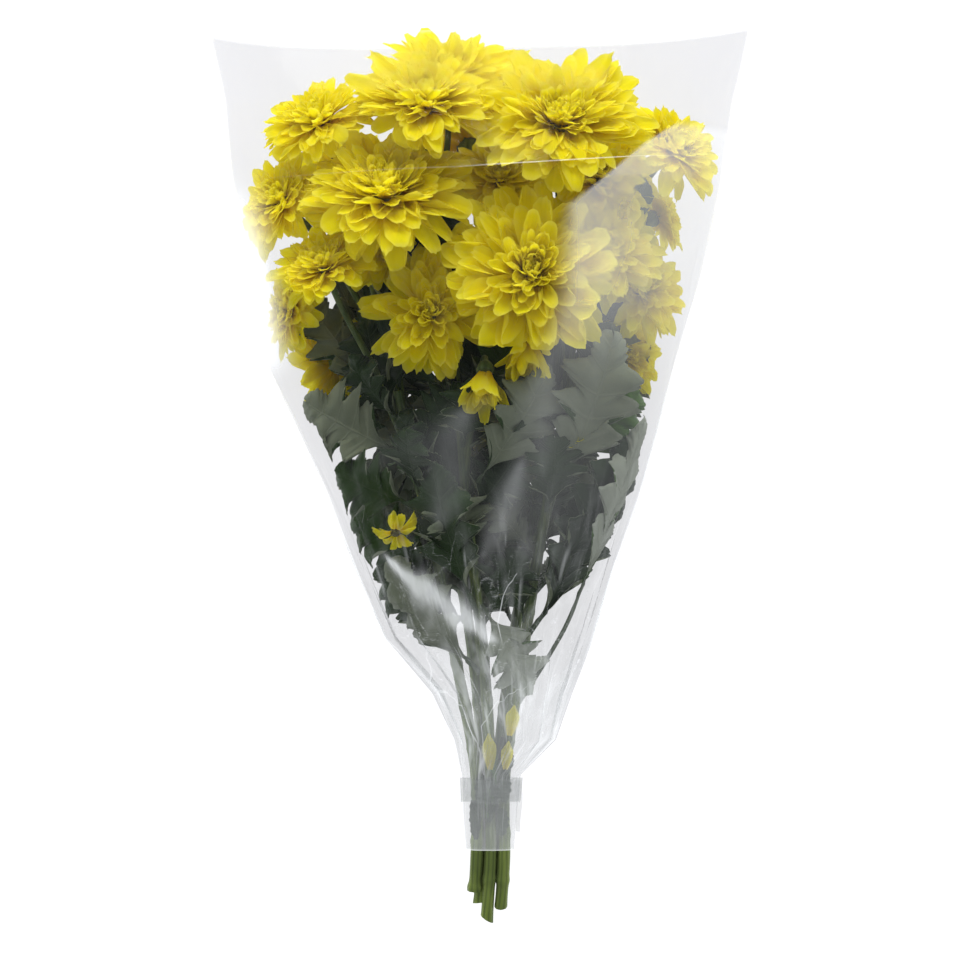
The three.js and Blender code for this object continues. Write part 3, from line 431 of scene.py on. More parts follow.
class Nodes:
    """A few words for building a node tree."""

    def __init__(self, name):
        self.material = bpy.data.materials.new(name)
        self.material.use_nodes = True
        self.tree = self.material.node_tree
        self.shader = self.tree.nodes["Principled BSDF"]

    def node(self, kind, inputs):
        made = self.tree.nodes.new(kind)
        for key, value in inputs.items():
            self.put(made.inputs[key], value)
        return made

    def put(self, socket, value):
        if isinstance(value, bpy.types.NodeSocket):
            self.tree.links.new(value, socket)
        else:
            socket.default_value = value

    def attribute(self, name):
        made = self.tree.nodes.new("ShaderNodeAttribute")
        made.attribute_name = name
        return made.outputs["Fac"]

    def math(self, operation, *values, clamp=False):
        made = self.node("ShaderNodeMath", dict(enumerate(values)))
        made.operation = operation
        made.use_clamp = clamp
        return made.outputs[0]

    def times(self, a, b, clamp=False):
        return self.math("MULTIPLY", a, b, clamp=clamp)

    def plus(self, a, b, clamp=False):
        return self.math("ADD", a, b, clamp=clamp)

    def mix(self, share, a, b):
        made = self.tree.nodes.new("ShaderNodeMix")
        made.data_type = "RGBA"
        self.put(made.inputs[0], share)
        for socket, value in zip((made.inputs[6], made.inputs[7]), (a, b)):
            self.put(socket, (*value, 1) if isinstance(value, tuple) and len(value) == 3 else value)
        return made.outputs[2]

    def span(self, value, low, high, to_low=0.0, to_high=1.0):
        inputs = dict(enumerate((value, low, high, to_low, to_high)))
        return self.node("ShaderNodeMapRange", inputs).outputs[0]

    def place(self, scale=(1, 1, 1)):
        coord = self.tree.nodes.new("ShaderNodeTexCoord")
        return self.node("ShaderNodeMapping", {0: coord.outputs["Object"], "Scale": scale}).outputs[0]

    def noise(self, scale, detail=2.0, stretch=(1, 1, 1), vector=None):
        inputs = {"Vector": vector or self.place(stretch), "Scale": scale, "Detail": detail}
        return self.node("ShaderNodeTexNoise", inputs).outputs["Fac"]

    def cells(self, scale, feature="F1"):
        made = self.node("ShaderNodeTexVoronoi", {"Vector": self.place(), "Scale": scale})
        made.feature = feature
        return made.outputs["Distance"]

    def combine(self, x, y, z):
        return self.node("ShaderNodeCombineXYZ", {0: x, 1: y, 2: z}).outputs[0]

    def bump(self, height, strength, distance):
        made = self.node("ShaderNodeBump", {"Strength": strength, "Distance": distance, "Height": height})
        self.put(self.shader.inputs["Normal"], made.outputs[0])

    def glow(self, colour, share):
        """Lets this share of the light through from behind."""
        through = self.node("ShaderNodeBsdfTranslucent", {"Color": colour})
        if self.shader.inputs["Normal"].is_linked:
            self.put(through.inputs["Normal"], self.shader.inputs["Normal"].links[0].from_socket)
        mixed = self.node("ShaderNodeMixShader", {0: share, 1: self.shader.outputs[0], 2: through.outputs[0]})
        self.put(self.tree.nodes["Material Output"].inputs["Surface"], mixed.outputs[0])

    def set(self, **values):
        for key, value in values.items():
            self.put(self.shader.inputs[key.replace("_", " ")], value)


def petal_material():
    m = Nodes("petal_yellow")
    u, v = m.attribute("petal_u"), m.attribute("petal_v")
    tone, layer = m.attribute("petal_tone"), m.attribute("petal_layer")
    # Paler rims and tips: partly the petals' paler edges, partly painted highlight along the edges
    edge = m.math("POWER", m.math("ABSOLUTE", u), 3.0)
    rim = m.math("MAXIMUM", m.times(edge, 0.8), m.span(v, 0.86, 1.0))
    base = m.mix(m.span(v, 0.0, 0.55), (0.94, 0.7, 0.002), (0.97, 0.9, 0.004))
    fresh = m.mix(m.span(layer, 0.5, 1.0, 0.0, 0.6), base, (0.9, 0.88, 0.01))
    tinted = m.mix(m.times(tone, 0.4), fresh, (0.93, 0.86, 0.02))
    pale = m.mix(m.times(rim, 0.5), tinted, (0.95, 0.92, 0.2))
    own = m.combine(m.times(u, 9.0), v, m.times(tone, 40.0))
    streak = m.noise(1.0, 3.0, vector=own)
    colour = m.mix(m.span(streak, 0.35, 0.75, 0.0, 0.08), pale, (0.9, 0.74, 0.01))
    m.set(Base_Color=colour)
    ridge = m.math("COSINE", m.times(u, 15.0))
    fine = m.plus(m.times(ridge, 0.5), streak)
    m.bump(fine, 0.14, 0.0005)
    m.set(Roughness=0.6, Specular_IOR_Level=0.06)
    m.glow(m.mix(0.12, colour, (0.95, 0.72, 0.0)), 0.6)
    return m.material


def eye_material():
    m = Nodes("eye_florets")
    cells = m.cells(900)
    colour = m.mix(m.attribute("eye_height"), (0.5, 0.42, 0.01), (0.4, 0.48, 0.05))
    m.set(Base_Color=m.mix(m.span(cells, 0.0, 0.6), colour, (0.2, 0.19, 0.02)), Roughness=0.6)
    m.bump(cells, 0.5, 0.0008)
    return m.material


def dark_eye_material():
    m = Nodes("eye_dark")
    cells = m.cells(800)
    m.set(Base_Color=m.mix(m.span(cells, 0.1, 0.6), (0.22, 0.2, 0.04), (0.07, 0.065, 0.015)), Roughness=0.65)
    m.bump(cells, 0.6, 0.0008)
    return m.material


def veins(m):
    """A midrib, side veins that run forward from it, and a fine net between them."""
    u, v = m.attribute("leaf_u"), m.attribute("leaf_v")
    side = m.math("ABSOLUTE", u)
    rib = m.span(side, 0.0, 0.05, 1.0, 0.0)
    lane = m.times(m.math("SUBTRACT", v, 0.02), 7.0)
    near = m.math("ABSOLUTE", m.math("SUBTRACT", m.math("FRACT", lane), 0.5))
    branch = m.times(m.span(near, 0.0, 0.075, 1.0, 0.0), m.span(side, 0.75, 1.0, 1.0, 0.2))
    fine = m.span(m.cells(260, "DISTANCE_TO_EDGE"), 0.0, 0.12, 1.0, 0.0)
    return m.math("MAXIMUM", rib, m.times(branch, 0.8)), fine


def leaf_material(name, dark, light, vein, bright, lift, roughness):
    m = Nodes(name)
    main, fine = veins(m)
    tone = m.attribute("leaf_tone")
    mottled = m.mix(m.span(m.noise(55, 4.0), 0.3, 0.7), dark, light)
    # Toward the bright colour by tone; on the pale side at high tone this is partly painted reflection of the
    # film
    own = m.mix(tone, mottled, bright)
    lined = m.mix(m.times(fine, 0.05), own, vein)
    blade = m.mix(m.times(main, 0.32), lined, vein)
    stalk = m.span(m.attribute("leaf_v"), 0.15, 0.22, 0.85, 0.0)
    m.set(Base_Color=m.mix(stalk, blade, (0.035, 0.07, 0.02)), Roughness=roughness)
    relief = m.plus(m.times(main, lift), m.times(fine, lift * 0.06))
    m.bump(m.plus(relief, m.times(m.noise(320, 3.0), 0.3)), 0.45, 0.0008)
    m.set(Specular_IOR_Level=0.12, Sheen_Weight=0.04)
    return m.material


def stem_material():
    m = Nodes("stem_green")
    ridge, along = m.attribute("stem_turn"), m.attribute("stem_along")
    low = m.mix(m.span(along, -215.0, -190.0), (0.24, 0.33, 0.06), (0.14, 0.2, 0.05))
    high = m.mix(m.span(along, -190.0, 20.0), low, (0.07, 0.115, 0.038))
    groove = m.mix(0.55, high, (0.02, 0.045, 0.012))
    fleck = m.noise(300, 4.0, (1, 0.07, 1))
    patch = m.noise(38, 3.0, (1, 0.4, 1))
    lined = m.mix(m.span(ridge, 0.25, 0.95), groove, high)
    spotted = m.mix(m.span(fleck, 0.45, 0.75, 0.0, 0.5), lined, (0.28, 0.33, 0.1))
    m.set(Base_Color=m.mix(m.span(patch, 0.52, 0.7, 0.0, 0.6), spotted, (0.05, 0.075, 0.025)))
    m.bump(m.plus(m.times(ridge, 0.5), fleck), 0.5, 0.0006)
    m.set(Roughness=0.5, Specular_IOR_Level=0.2, Sheen_Weight=0.06)
    return m.material


def cut_material():
    m = Nodes("stem_cut")
    ring = m.attribute("cut_ring")
    wood = m.mix(m.span(ring, 0.45, 0.75), (0.62, 0.64, 0.42), (0.4, 0.46, 0.2))
    m.set(Base_Color=m.mix(m.span(ring, 0.86, 0.95), wood, (0.16, 0.24, 0.08)), Roughness=0.75)
    m.bump(m.noise(1500, 3.0), 0.4, 0.0003)
    return m.material


CREASE = [(-119, 165.6, 0.06), (-13, 168.9, 0.12), (5, 170.3, 0.3), (87, 176.4, 0.34), (137, 178.4, 0.2)]
FOLDS = [  # lines pressed into the front of the film, each painted as a highlight: points (x, y, how bright the painted highlight is), in mm
    CREASE,
    [(-34, -92, 0.2), (-28, -116, 0.5), (-10.6, -131.7, 0.7), (-2, -150, 0.7), (2.2, -169, 0.5)],
    [(3, -172, 0.4), (1, -150, 0.6), (0, -141, 0.7), (10, -126.7, 0.8), (25, -118, 0.8), (34, -114, 0.2)],
    [(21, -52, 0.3), (12.8, -66, 0.6), (10, -81, 0.6), (12.8, -94, 0.2)],
]


def film_material():
    m = Nodes("clear_film")
    reflection_and_haze, fold, crumple = m.attribute("film_reflection_and_haze"), m.attribute("film_edges_and_highlights"), m.attribute("film_crumple")
    lane, along = m.attribute("film_lane"), m.attribute("film_along")
    sheet = m.combine(lane, m.times(along, 0.03), 0.0)
    wide = m.noise(0.55, 3.0, vector=sheet)
    close = m.noise(1.2, 3.0, vector=sheet)
    breaks = m.span(m.noise(3.4, 2.0, vector=m.combine(along, lane, 3.0)), 0.45, 0.6)
    wrinkle = m.span(m.math("ABSOLUTE", m.math("SUBTRACT", wide, 0.5)), 0.0, 0.012, 1.0, 0.0)
    crinkle = m.span(m.math("ABSOLUTE", m.math("SUBTRACT", close, 0.5)), 0.0, 0.014, 0.7, 0.0)
    # Painted highlights along the wrinkles of the crumpled film
    line = m.times(m.times(m.math("MAXIMUM", wrinkle, crinkle), breaks), crumple)
    # Painted highlights along the lines pressed into the front
    for number in range(len(FOLDS)):
        gap = m.math("ABSOLUTE", m.attribute(f"film_line_{number}"))
        edge = m.span(gap, 0.1, 0.5, 1.0, 0.0)
        line = m.math("MAXIMUM", line, m.times(edge, m.attribute(f"film_mark_{number}")))
    soft = m.span(m.noise(9, 3.0, (1, 0.45, 1)), 0.3, 0.65, 0.8, 1.0)
    patch = m.times(m.times(m.span(close, 0.48, 0.66), crumple), 0.28)
    # Milky share: partly the film's haze, partly painted reflection of the lamps
    milk_and_reflection = m.plus(m.times(reflection_and_haze, soft), patch, clamp=True)
    white = m.math("MAXIMUM", m.math("MAXIMUM", milk_and_reflection, fold), line)
    # Dark clear film, painted white where it is milky, where it holds painted reflection and where it has
    # painted highlights
    colour = m.mix(m.times(white, 3.0, clamp=True), (0.012, 0.013, 0.016), (0.86, 0.89, 0.915))
    thick = m.math("MAXIMUM", milk_and_reflection, m.times(line, 0.5))
    thick = m.plus(thick, m.times(fold, 0.4))
    m.set(Base_Color=colour, Alpha=m.plus(thick, 0.15, clamp=True))
    # Painted glow: the milky, reflecting and highlighted parts of the film give off light of their own
    m.set(Emission_Color=colour, Emission_Strength=0.5)
    m.set(Roughness=0.1, IOR=1.49, Specular_IOR_Level=0.35)
    relief = m.plus(m.times(wide, m.plus(crumple, 0.3)), m.times(close, 0.4))
    m.bump(relief, 0.4, 0.006)
    return m.material


def tape_material():
    m = Nodes("clear_tape")
    grain = m.noise(160, 4.0, (1, 4, 1))
    m.set(Base_Color=m.mix(m.span(grain, 0.3, 0.7), (0.34, 0.37, 0.36), (0.62, 0.66, 0.66)), Alpha=0.3)
    m.set(Roughness=0.18, IOR=1.5, Coat_Weight=0.3)
    m.bump(grain, 0.3, 0.0008)
    return m.material


def floor_material():
    m = Nodes("floor_white")
    m.set(Base_Color=m.mix(m.noise(3.0, 2.0), (0.29, 0.295, 0.33), (0.3, 0.305, 0.34)), Roughness=0.9)
    m.set(Specular_IOR_Level=0.0, Emission_Color=(0.985, 0.985, 1.0, 1), Emission_Strength=0.95)
    return m.material


PETAL = petal_material()
EYE = eye_material()
DARK_EYE = dark_eye_material()
DARK_GREENS = (0.006, 0.015, 0.005), (0.018, 0.038, 0.013), (0.07, 0.105, 0.05), (0.07, 0.16, 0.025)
# The pale side's dark, light, vein and bright greens; the bright one, reached at high tone, is partly painted
# reflection of the film
PALE_GREENS = (0.09, 0.115, 0.066), (0.17, 0.2, 0.125), (0.34, 0.38, 0.28), (0.4, 0.44, 0.37)
LEAF_TOP = leaf_material("leaf_upper", *DARK_GREENS, 0.5, 0.38)
LEAF_UNDER = leaf_material("leaf_under", *PALE_GREENS, 1.0, 0.6)
STEM = stem_material()
CUT = cut_material()
FILM = film_material()
TAPE = tape_material()

# ---------------------------------------------------------------- blooms


def reach_of(i, direction):
    along = (direction * FACING[i]).sum(-1)
    return RADIUS[i] * np.sqrt(1 - along**2 + (0.45 * along) ** 2)


def press(i, points, layer):
    """Presses a bloom's points in where its neighbours and the film are, innermost petals first."""
    ray = points - AT[i]
    length = np.linalg.norm(ray, axis=-1)
    ray = ray / (length[..., None] + 1e-9)
    limit = np.full(length.shape, 200.0)
    for j in range(len(BLOOMS)):
        if j == i:
            continue
        toward = AT[j] - AT[i]
        distance = np.linalg.norm(toward)
        if distance > 1.25 * (RADIUS[i] + RADIUS[j]):
            continue
        toward = toward / distance
        mine, theirs = reach_of(i, toward), reach_of(j, -toward)
        plane = distance * mine / (mine + theirs) + OVERLAP
        along = ray @ toward
        limit = np.where(along > 0.05, np.minimum(limit, plane / np.maximum(along, 0.05)), limit)
    free = room_toward(AT[i], ray, PETAL_GAP) - LAYER_GAP * layer
    limit = np.maximum(np.minimum(limit, free), 0.25 * RADIUS[i])
    pressed = np.where(length > 0.2 * RADIUS[i], soften(length, limit, 0.86), length)
    return AT[i] + ray * pressed[..., None]


OPEN = dict(inner=(0.2, 0.03), rise=(-0.1, 0.1), bias=1.3, loose=1.0)
FORMS = {
    # number, then outermost and innermost value of: length, half width, angle at root, angle at tip,
    # root radius, root height, how far the petal is rolled, in shares of the radius and in degrees
    "full": dict(
        OPEN, count=230, length=(1.0, 0.2), half=(0.145, 0.06), root=(20, 80), tip=(-22, 132), roll=(18, 120),
    ),
    "half": dict(
        OPEN, count=158, length=(1.02, 0.24), half=(0.175, 0.075), root=(20, 80), tip=(-22, 130),
        roll=(18, 115),
    ),
    "rear": dict(
        OPEN, count=96, length=(1.02, 0.26), half=(0.2, 0.09), root=(20, 84), tip=(-20, 114), roll=(20, 105),
    ),
    "small": dict(
        count=14, length=(1.35, 1.0), half=(0.3, 0.22), root=(30, 44), tip=(-74, -40), inner=(0.24, 0.2),
        rise=(-0.02, 0.02), roll=(50, 70), bias=1.0, loose=1.2,
    ),
    "bud": dict(
        count=28, length=(1.3, 0.8), half=(0.3, 0.2), root=(48, 90), tip=(58, 96), inner=(0.22, 0.05),
        rise=(-0.1, 0.0), roll=(60, 130), bias=1.0, loose=1.3,
    ),
}
ROWS, COLUMNS = 13, 9
OVERLAP, PETAL_GAP, LAYER_GAP = 7, 1.6, 5.0  # past a neighbour's border, from the film, and by layer


def petals(i, form, seed):
    """Points of all petals of a bloom, from the outermost to the innermost, with what colours them."""
    spec = FORMS[form]
    rng = np.random.default_rng(seed)
    count = spec["count"]
    loose = spec["loose"]
    order = (np.arange(count) + 0.5) / count
    s = np.clip(order ** spec["bias"] + 0.05 * loose * rng.uniform(-1, 1, count), 0, 1)

    def between(key, power=1.0):
        low, high = spec[key]
        return blend(low, high, s**power)

    def jitter(size):
        return size * rng.uniform(-1, 1, count)

    azimuth = np.arange(count) * GOLDEN + jitter(0.5) * loose + rng.uniform(0, 6)
    length = between("length", 0.85) * (1 + (jitter(0.16) - 0.04) * loose)
    half = between("half") * (1 + jitter(0.2) * loose)
    lift_off = jitter(12) * loose
    start = np.radians(between("root", 1.4) + lift_off + jitter(5))
    stop = np.radians(between("tip", 1.4) + lift_off + jitter(26) * loose)
    stop = np.where(np.abs(stop - start) < 0.02, start + 0.02, stop)
    roll = np.radians(between("roll") * (1 + jitter(0.45)))
    twist = np.radians(jitter(34))
    lean = jitter(0.22)
    curl = jitter(0.07) + 0.03
    notch = rng.uniform(0.0, 0.09, count)
    blunt = rng.uniform(0.12, 0.34, count)
    u = np.linspace(-1, 1, COLUMNS)[None, None]
    v = (np.linspace(0, 1, ROWS) ** 0.9)[None, :, None]

    def each(a):
        return a[:, None, None]

    side = np.abs(u)
    end = 1 - each(blunt) * side**2.6 + each(notch) * (np.cos(3 * math.pi * u) - 1) / 2
    w = v * end
    angle = blend(each(start), each(stop), w)
    turn = each(stop - start)
    out = each(between("inner")) + each(length) * (np.sin(angle) - np.sin(each(start))) / turn
    up = each(between("rise")) - each(length) * (np.cos(angle) - np.cos(each(start))) / turn
    wide = 0.3 + 0.7 * np.sin(np.minimum(v / 0.72, 1) * math.pi / 2) ** 1.3
    wide = each(half) * wide * (1 - 0.2 * smooth(v, 0.8, 1.0) ** 2)
    bow = each(roll) * (0.55 + 0.45 * (1 - v))
    across = wide * np.sin(bow * u) / bow
    lift = wide * (1 - np.cos(bow * u)) / bow
    lift = lift + each(curl) * each(length) * v**4 + 0.05 * each(half) * np.cos(7 * u) * v
    ruffle = each(rng.uniform(0.02, 0.12, count)) * np.sin(v * 9 + each(rng.uniform(0, 6, count)))
    lift = lift + ruffle * each(half) * side**2
    spin = each(twist) * v
    across, lift = across * np.cos(spin) - lift * np.sin(spin), across * np.sin(spin) + lift * np.cos(spin)
    across = across + each(lean) * each(length) * v**2
    out = out - lift * np.sin(angle)
    up = up + lift * np.cos(angle)
    cos, sin = np.cos(each(azimuth)), np.sin(each(azimuth))
    local = np.stack([out * cos - across * sin, out * sin + across * cos, up], -1) * RADIUS[i]
    world = AT[i] + local @ basis(FACING[i]).T
    world = press(i, world, each(order))
    return world, u, v, each(rng.uniform(0, 1, count)), each(order)


def dome(i, radius, low, high, rows=7, columns=16):
    """A closed low dome on a bloom's own axis, in shares of its radius."""
    t = np.linspace(0, math.pi / 2, rows)[:, None]
    a = np.linspace(0, 2 * math.pi, columns, endpoint=False)[None]
    r = radius * np.cos(t)
    r = np.concatenate([0.7 * radius * np.ones((1, 1)), r[:-1], np.array([[0.02 * radius]])])
    z = np.concatenate([np.array([[low]]), (high * np.sin(t))[:-1], np.array([[high]])])
    local = np.stack([r * np.cos(a), r * np.sin(a), np.broadcast_to(z, (len(z), columns))], -1) * RADIUS[i]
    world = AT[i] + local @ basis(FACING[i]).T
    return world, tube_faces(len(z), columns), np.linspace(0, 1, len(z))[:, None]


def make_bloom(i):
    name, _, _, _, _, form = BLOOMS[i]
    shape = Shape()
    points, u, v, tone, layer = petals(i, form, 100 + i)
    faces = grid_faces(ROWS, COLUMNS)
    first = (np.arange(len(points)) * ROWS * COLUMNS)[:, None, None]
    values = dict(petal_u=u, petal_v=v, petal_tone=tone, petal_layer=layer)
    shape.add(points, (faces + first).reshape(-1, 4), 0, **values)
    eye = {"small": (0.27, 0.18), "bud": (0.16, 0.2)}.get(form, (0.2, 0.12))
    world, faces, height = dome(i, eye[0], -CORE_DEPTH, eye[1])
    shape.add(world, faces, 1, eye_height=height)
    second = DARK_EYE if form == "small" else EYE
    return shape.build(name + "_petals", [PETAL, second], [name])


for index in range(len(BLOOMS)):
    make_bloom(index)

# ---------------------------------------------------------------- stems, stalks and calyces


def tube(shape, path, radii, sides, ribs, cap=None, slant=0.0, spin=0.0):
    """A tube along a path. cap is the material number of its first end, which is cut at a slant."""
    path = np.asarray(path, float)
    tangent = unit(np.gradient(path, axis=0))
    normal = np.zeros_like(path)
    normal[0] = basis(tangent[0])[:, 0]
    for k in range(1, len(path)):
        normal[k] = unit(normal[k - 1] - tangent[k] * (normal[k - 1] @ tangent[k]))
    other = np.cross(tangent, normal)
    a = np.linspace(0, 2 * math.pi, sides, endpoint=False)
    ridge = np.abs(np.cos(4 * a + 0.6 * np.sin(np.arange(len(path)) / 17.0 + spin)[:, None])) ** 0.7
    r = np.broadcast_to(radii, (len(path),))[:, None] * (1 + ribs * (2 * ridge - 1.3))
    points = path[:, None] + (r * np.cos(a))[..., None] * normal[:, None]
    points = points + (r * np.sin(a))[..., None] * other[:, None]
    n = len(path)
    reach = np.linalg.norm(path - path[0], axis=1)[:, None, None]
    shift = slant * np.cos(a + spin)[None, :, None] * np.exp(-reach / 5.0)
    points = points + tangent[0] * shift * radii[0]
    shape.add(points, tube_faces(n, sides, cap is None), 0, stem_turn=ridge, stem_along=path[:, 1:2])
    if cap is not None:
        middle = points[0].mean(0) + 0.25 * tangent[0]
        ring = np.array([1.0, 0.92, 0.75, 0.5, 0.2])[:, None]
        rings = blend(middle, points[0], ring[..., None])
        shape.add(rings, [f[:, ::-1] for f in tube_faces(len(ring), sides, False)], cap, cut_ring=ring)


CALYX_RINGS = (0, 0.34), (0.12, 0.5), (0.35, 0.78), (0.7, 0.97), (1.0, 1.0), (1.12, 0.9)  # height, width


def calyx(shape, i):
    """The green cup of overlapping bracts under a bloom."""
    height, wide = calyx_height(i), CALYX_RADIUS * RADIUS[i]
    turn = basis(FACING[i])
    top = AT[i] - FACING[i] * (CORE_DEPTH * RADIUS[i] + TOUCH)
    sides = 28
    a = np.linspace(0, 2 * math.pi, sides, endpoint=False)
    rows = []
    for share, size in CALYX_RINGS:
        size = blend(STALK_RADIUS / wide, 1.0, (size - 0.3) / 0.7)
        wave = 1 + 0.05 * np.cos(7 * a + share * 3)
        rise = (share - 1) * height + (0.12 * height * np.cos(14 * a) if share > 0.9 else 0)
        reach = wide * size * wave
        rows.append(np.stack([reach * np.cos(a), reach * np.sin(a), rise + 0 * a], -1))
    world = top + np.array(rows) @ turn.T
    faces = tube_faces(len(rows), sides)
    shape.add(world, faces, 0, stem_turn=0.5 + 0.5 * np.cos(7 * a), stem_along=-40.0)


STEM_RINGS, STEM_SIDES, STALK_RINGS, STALK_SIDES = 481, 48, 40, 14
NODE_GAP = 27.0  # between the swollen joints of a stem
NODE_PHASE = [24.0, 3.0, 11.0, 19.0, 7.0]
FLARE = [0.2, 0.02, 0.06, 0.14, 0.05]
SLANT = [0.12, 0.55, 0.3, 0.2, 0.45]
SCRAPS = {0: 4, 1: 5, 2: 5, 3: 3}  # spray, and how many scraps of leaf cling to its stem in the neck


def leaf_scraps(shape, spray):
    """Torn scraps of leaf that cling to a stem where it is stripped, inside the neck of the sleeve."""
    rng = np.random.default_rng(70 + spray)
    rows, columns = 15, 11
    u, v = patch_uv(rows, columns)
    for _ in range(SCRAPS[spray]):
        low = rng.uniform(-206, -158)
        path, _, across, up = along_stem(spray, low, low + rng.uniform(12, 24), rows)
        wide = rng.uniform(4, 7) * np.sin(math.pi * (0.08 + 0.86 * v)) ** 0.7
        wide = wide * (1 + 0.2 * np.sin(v * 25 + rng.uniform(0, 6)))
        turn = rng.uniform(-0.9, 0.9) + u * wide / (STEM_RADIUS + 1.5) * 0.75
        away = STEM_RADIUS * 1.1 + 0.5 + rng.uniform(0, 0.8) * u**2 + 0.35 * np.sin(5 * u + v * 6)
        points = path[:, None] + across[:, None] * (np.sin(turn) * away)[..., None]
        points = points + up[:, None] * (np.cos(turn) * away)[..., None]
        points = keep_inside(points.reshape(-1, 3), 1.3).reshape(rows, columns, 3)
        tone = rng.choice([0.0, 0.1, 0.8])
        shape.add(points, grid_faces(rows, columns), 2, leaf_tone=tone, leaf_u=u, leaf_v=v * 0.4 + 0.3)


def make_stems(spray):
    name = SPRAYS[spray][0]
    shape = Shape()
    curve = spaced(STEMS[spray], STEM_RINGS)
    radii = np.linspace(STEM_RADIUS, STEM_TOP_RADIUS, len(curve))
    reach = np.linspace(0, 1, len(curve)) * np.linalg.norm(np.diff(curve, axis=0), axis=1).sum()
    phase = NODE_PHASE[spray]
    turns = (reach + phase) / NODE_GAP
    near = np.abs(turns - np.round(turns)) * NODE_GAP
    radii = radii * (0.95 + 0.12 * np.exp(-((near / 2.4) ** 2)) + 0.02 * np.sin(reach / 7.0 + phase))
    radii = radii * (1 + FLARE[spray] * np.exp(-((reach / 4.0) ** 2)))
    tube(shape, curve, radii, STEM_SIDES, 0.03, cap=1, slant=SLANT[spray], spin=spray * 1.7)
    if spray in SCRAPS:
        leaf_scraps(shape, spray)
    for i in np.flatnonzero(OWNER == spray):
        path = catmull(STALKS[i], STALK_RINGS)
        tube(shape, path, np.linspace(BRANCH_RADIUS, STALK_RADIUS, STALK_RINGS), STALK_SIDES, 0.05)
        calyx(shape, i)
    return shape.build(f"stems_{name}", [STEM, CUT, LEAF_TOP], [f"stem_{name}"])


for index in range(len(SPRAYS)):
    make_stems(index)

# ---------------------------------------------------------------- leaves

PETIOLE = 1 / 6  # share of a leaf's length that is its stalk, unless its row says otherwise
LEAVES = [  # spray, y on the stem, tip (x, y, how far forward), width, roll, tone (high on the pale side: partly painted reflection), pale side out (, petiole)
    (0, 12, (-97, 43, 0.84), 50, 20, 0.15, True),
    (0, -16, (-80, 4, 0.7), 48, -10, 0.25, False),
    (0, -50, (-71, -20, 0.52), 44, 10, 0.3, False),
    (0, -92, (-57, -50, 0.5), 38, 0, 0.15, False),
    (0, 20, (-64, 94, 0.5), 42, 15, 0.0, False),
    (1, -112, (-50, -48, 0.84), 48, 0, 0.1, True),
    # made palest: partly painted reflection of the film on this leaf
    (1, -66, (29, -120, 0.86), 38, 0, 0.8, True),
    (1, -80, (-26, 6, 0.78), 52, -20, 0.1, False),
    (1, -10, (38, 60, 0.76), 48, 15, 0.1, True),
    (1, -30, (-22, 50, 0.5), 48, 25, 0.0, False),
    (2, -14, (73, 78, 0.8), 56, -15, 0.2, True),
    (2, -66, (86, 20, 0.78), 52, 0, 0.0, False),
    (2, -92, (62, -8, 0.6), 54, 12, 0.0, False),
    (2, 4, (88, 48, 0.55), 40, -10, 0.9, False),
    # made palest: partly painted reflection of the film on this leaf
    (2, -132, (92, 29, 0.86), 36, -10, 0.75, True, 0.45),
    (3, -60, (-58, 16, 0.14), 52, 0, 0.1, False),
    (3, 0, (-92, 66, 0.2), 46, 10, 0.0, False),
    (3, -90, (-14, -6, 0.25), 48, -10, 0.2, False),
    (4, -50, (60, 14, 0.14), 52, 0, 0.0, False),
    (4, 6, (94, 74, 0.22), 46, -10, 0.1, False),
    (4, -20, (4, 66, 0.1), 48, 8, 0.0, False),
    (4, 50, (91, 164, 0.58), 38, 0, 0.1, False),
]
LEAF_ROWS, LEAF_COLUMNS = 111, 19
OVAL_V = [0, 0.1, 0.17, 0.22, 0.3, 0.42, 0.6, 0.75, 0.88, 0.96, 1.0]
OVAL_W = [0.05, 0.05, 0.07, 0.22, 0.66, 0.9, 1.0, 0.84, 0.5, 0.2, 0.02]
NOTCHES = [0.16, 0.4, 0.58, 0.76, 1.08]  # where the blade is cut in between its lobes


def leaf_outline(v, rng):
    """Half width along the rib of one side: forward-pointing lobes with teeth on them."""
    notch = np.array(NOTCHES) + rng.uniform(-0.02, 0.02, 5)
    k = np.clip(np.searchsorted(notch, v) - 1, 0, 3)
    share = np.clip((v - notch[k]) / (notch[k + 1] - notch[k]), 0, 1)
    floor = np.array([0.4, 0.38, 0.45, 0.5])[k]
    lobe = floor + (1 - floor) * np.sin(math.pi * share**1.7) ** 0.9
    teeth = (v * 19 + rng.uniform(0, 1)) % 1.0
    toothed = 1 + 0.2 * (teeth - 0.5) * smooth(v, 0.2, 0.32)
    return np.interp(v, OVAL_V, OVAL_W) * np.where(v < notch[0], 1, lobe) * toothed


def leaf_tip(x, y, forward):
    left, right, back, front, _ = section_at(y)
    u = np.clip((x - left) / (right - left) * 2 - 1, -0.95, 0.95)
    seam = back + SEAM_HEIGHT * (front - back)
    top = seam + (front - seam) * (1 - abs(u) ** 2.2) ** 0.55
    low = ring_point(y, u, False)[1]
    return np.array([x, y, low + forward * (top - low)])


def rotate(vectors, axes, angle):
    c, s = math.cos(angle), math.sin(angle)
    along = axes * (vectors * axes).sum(-1, keepdims=True)
    return vectors * c + np.cross(axes, vectors) * s + along * (1 - c)


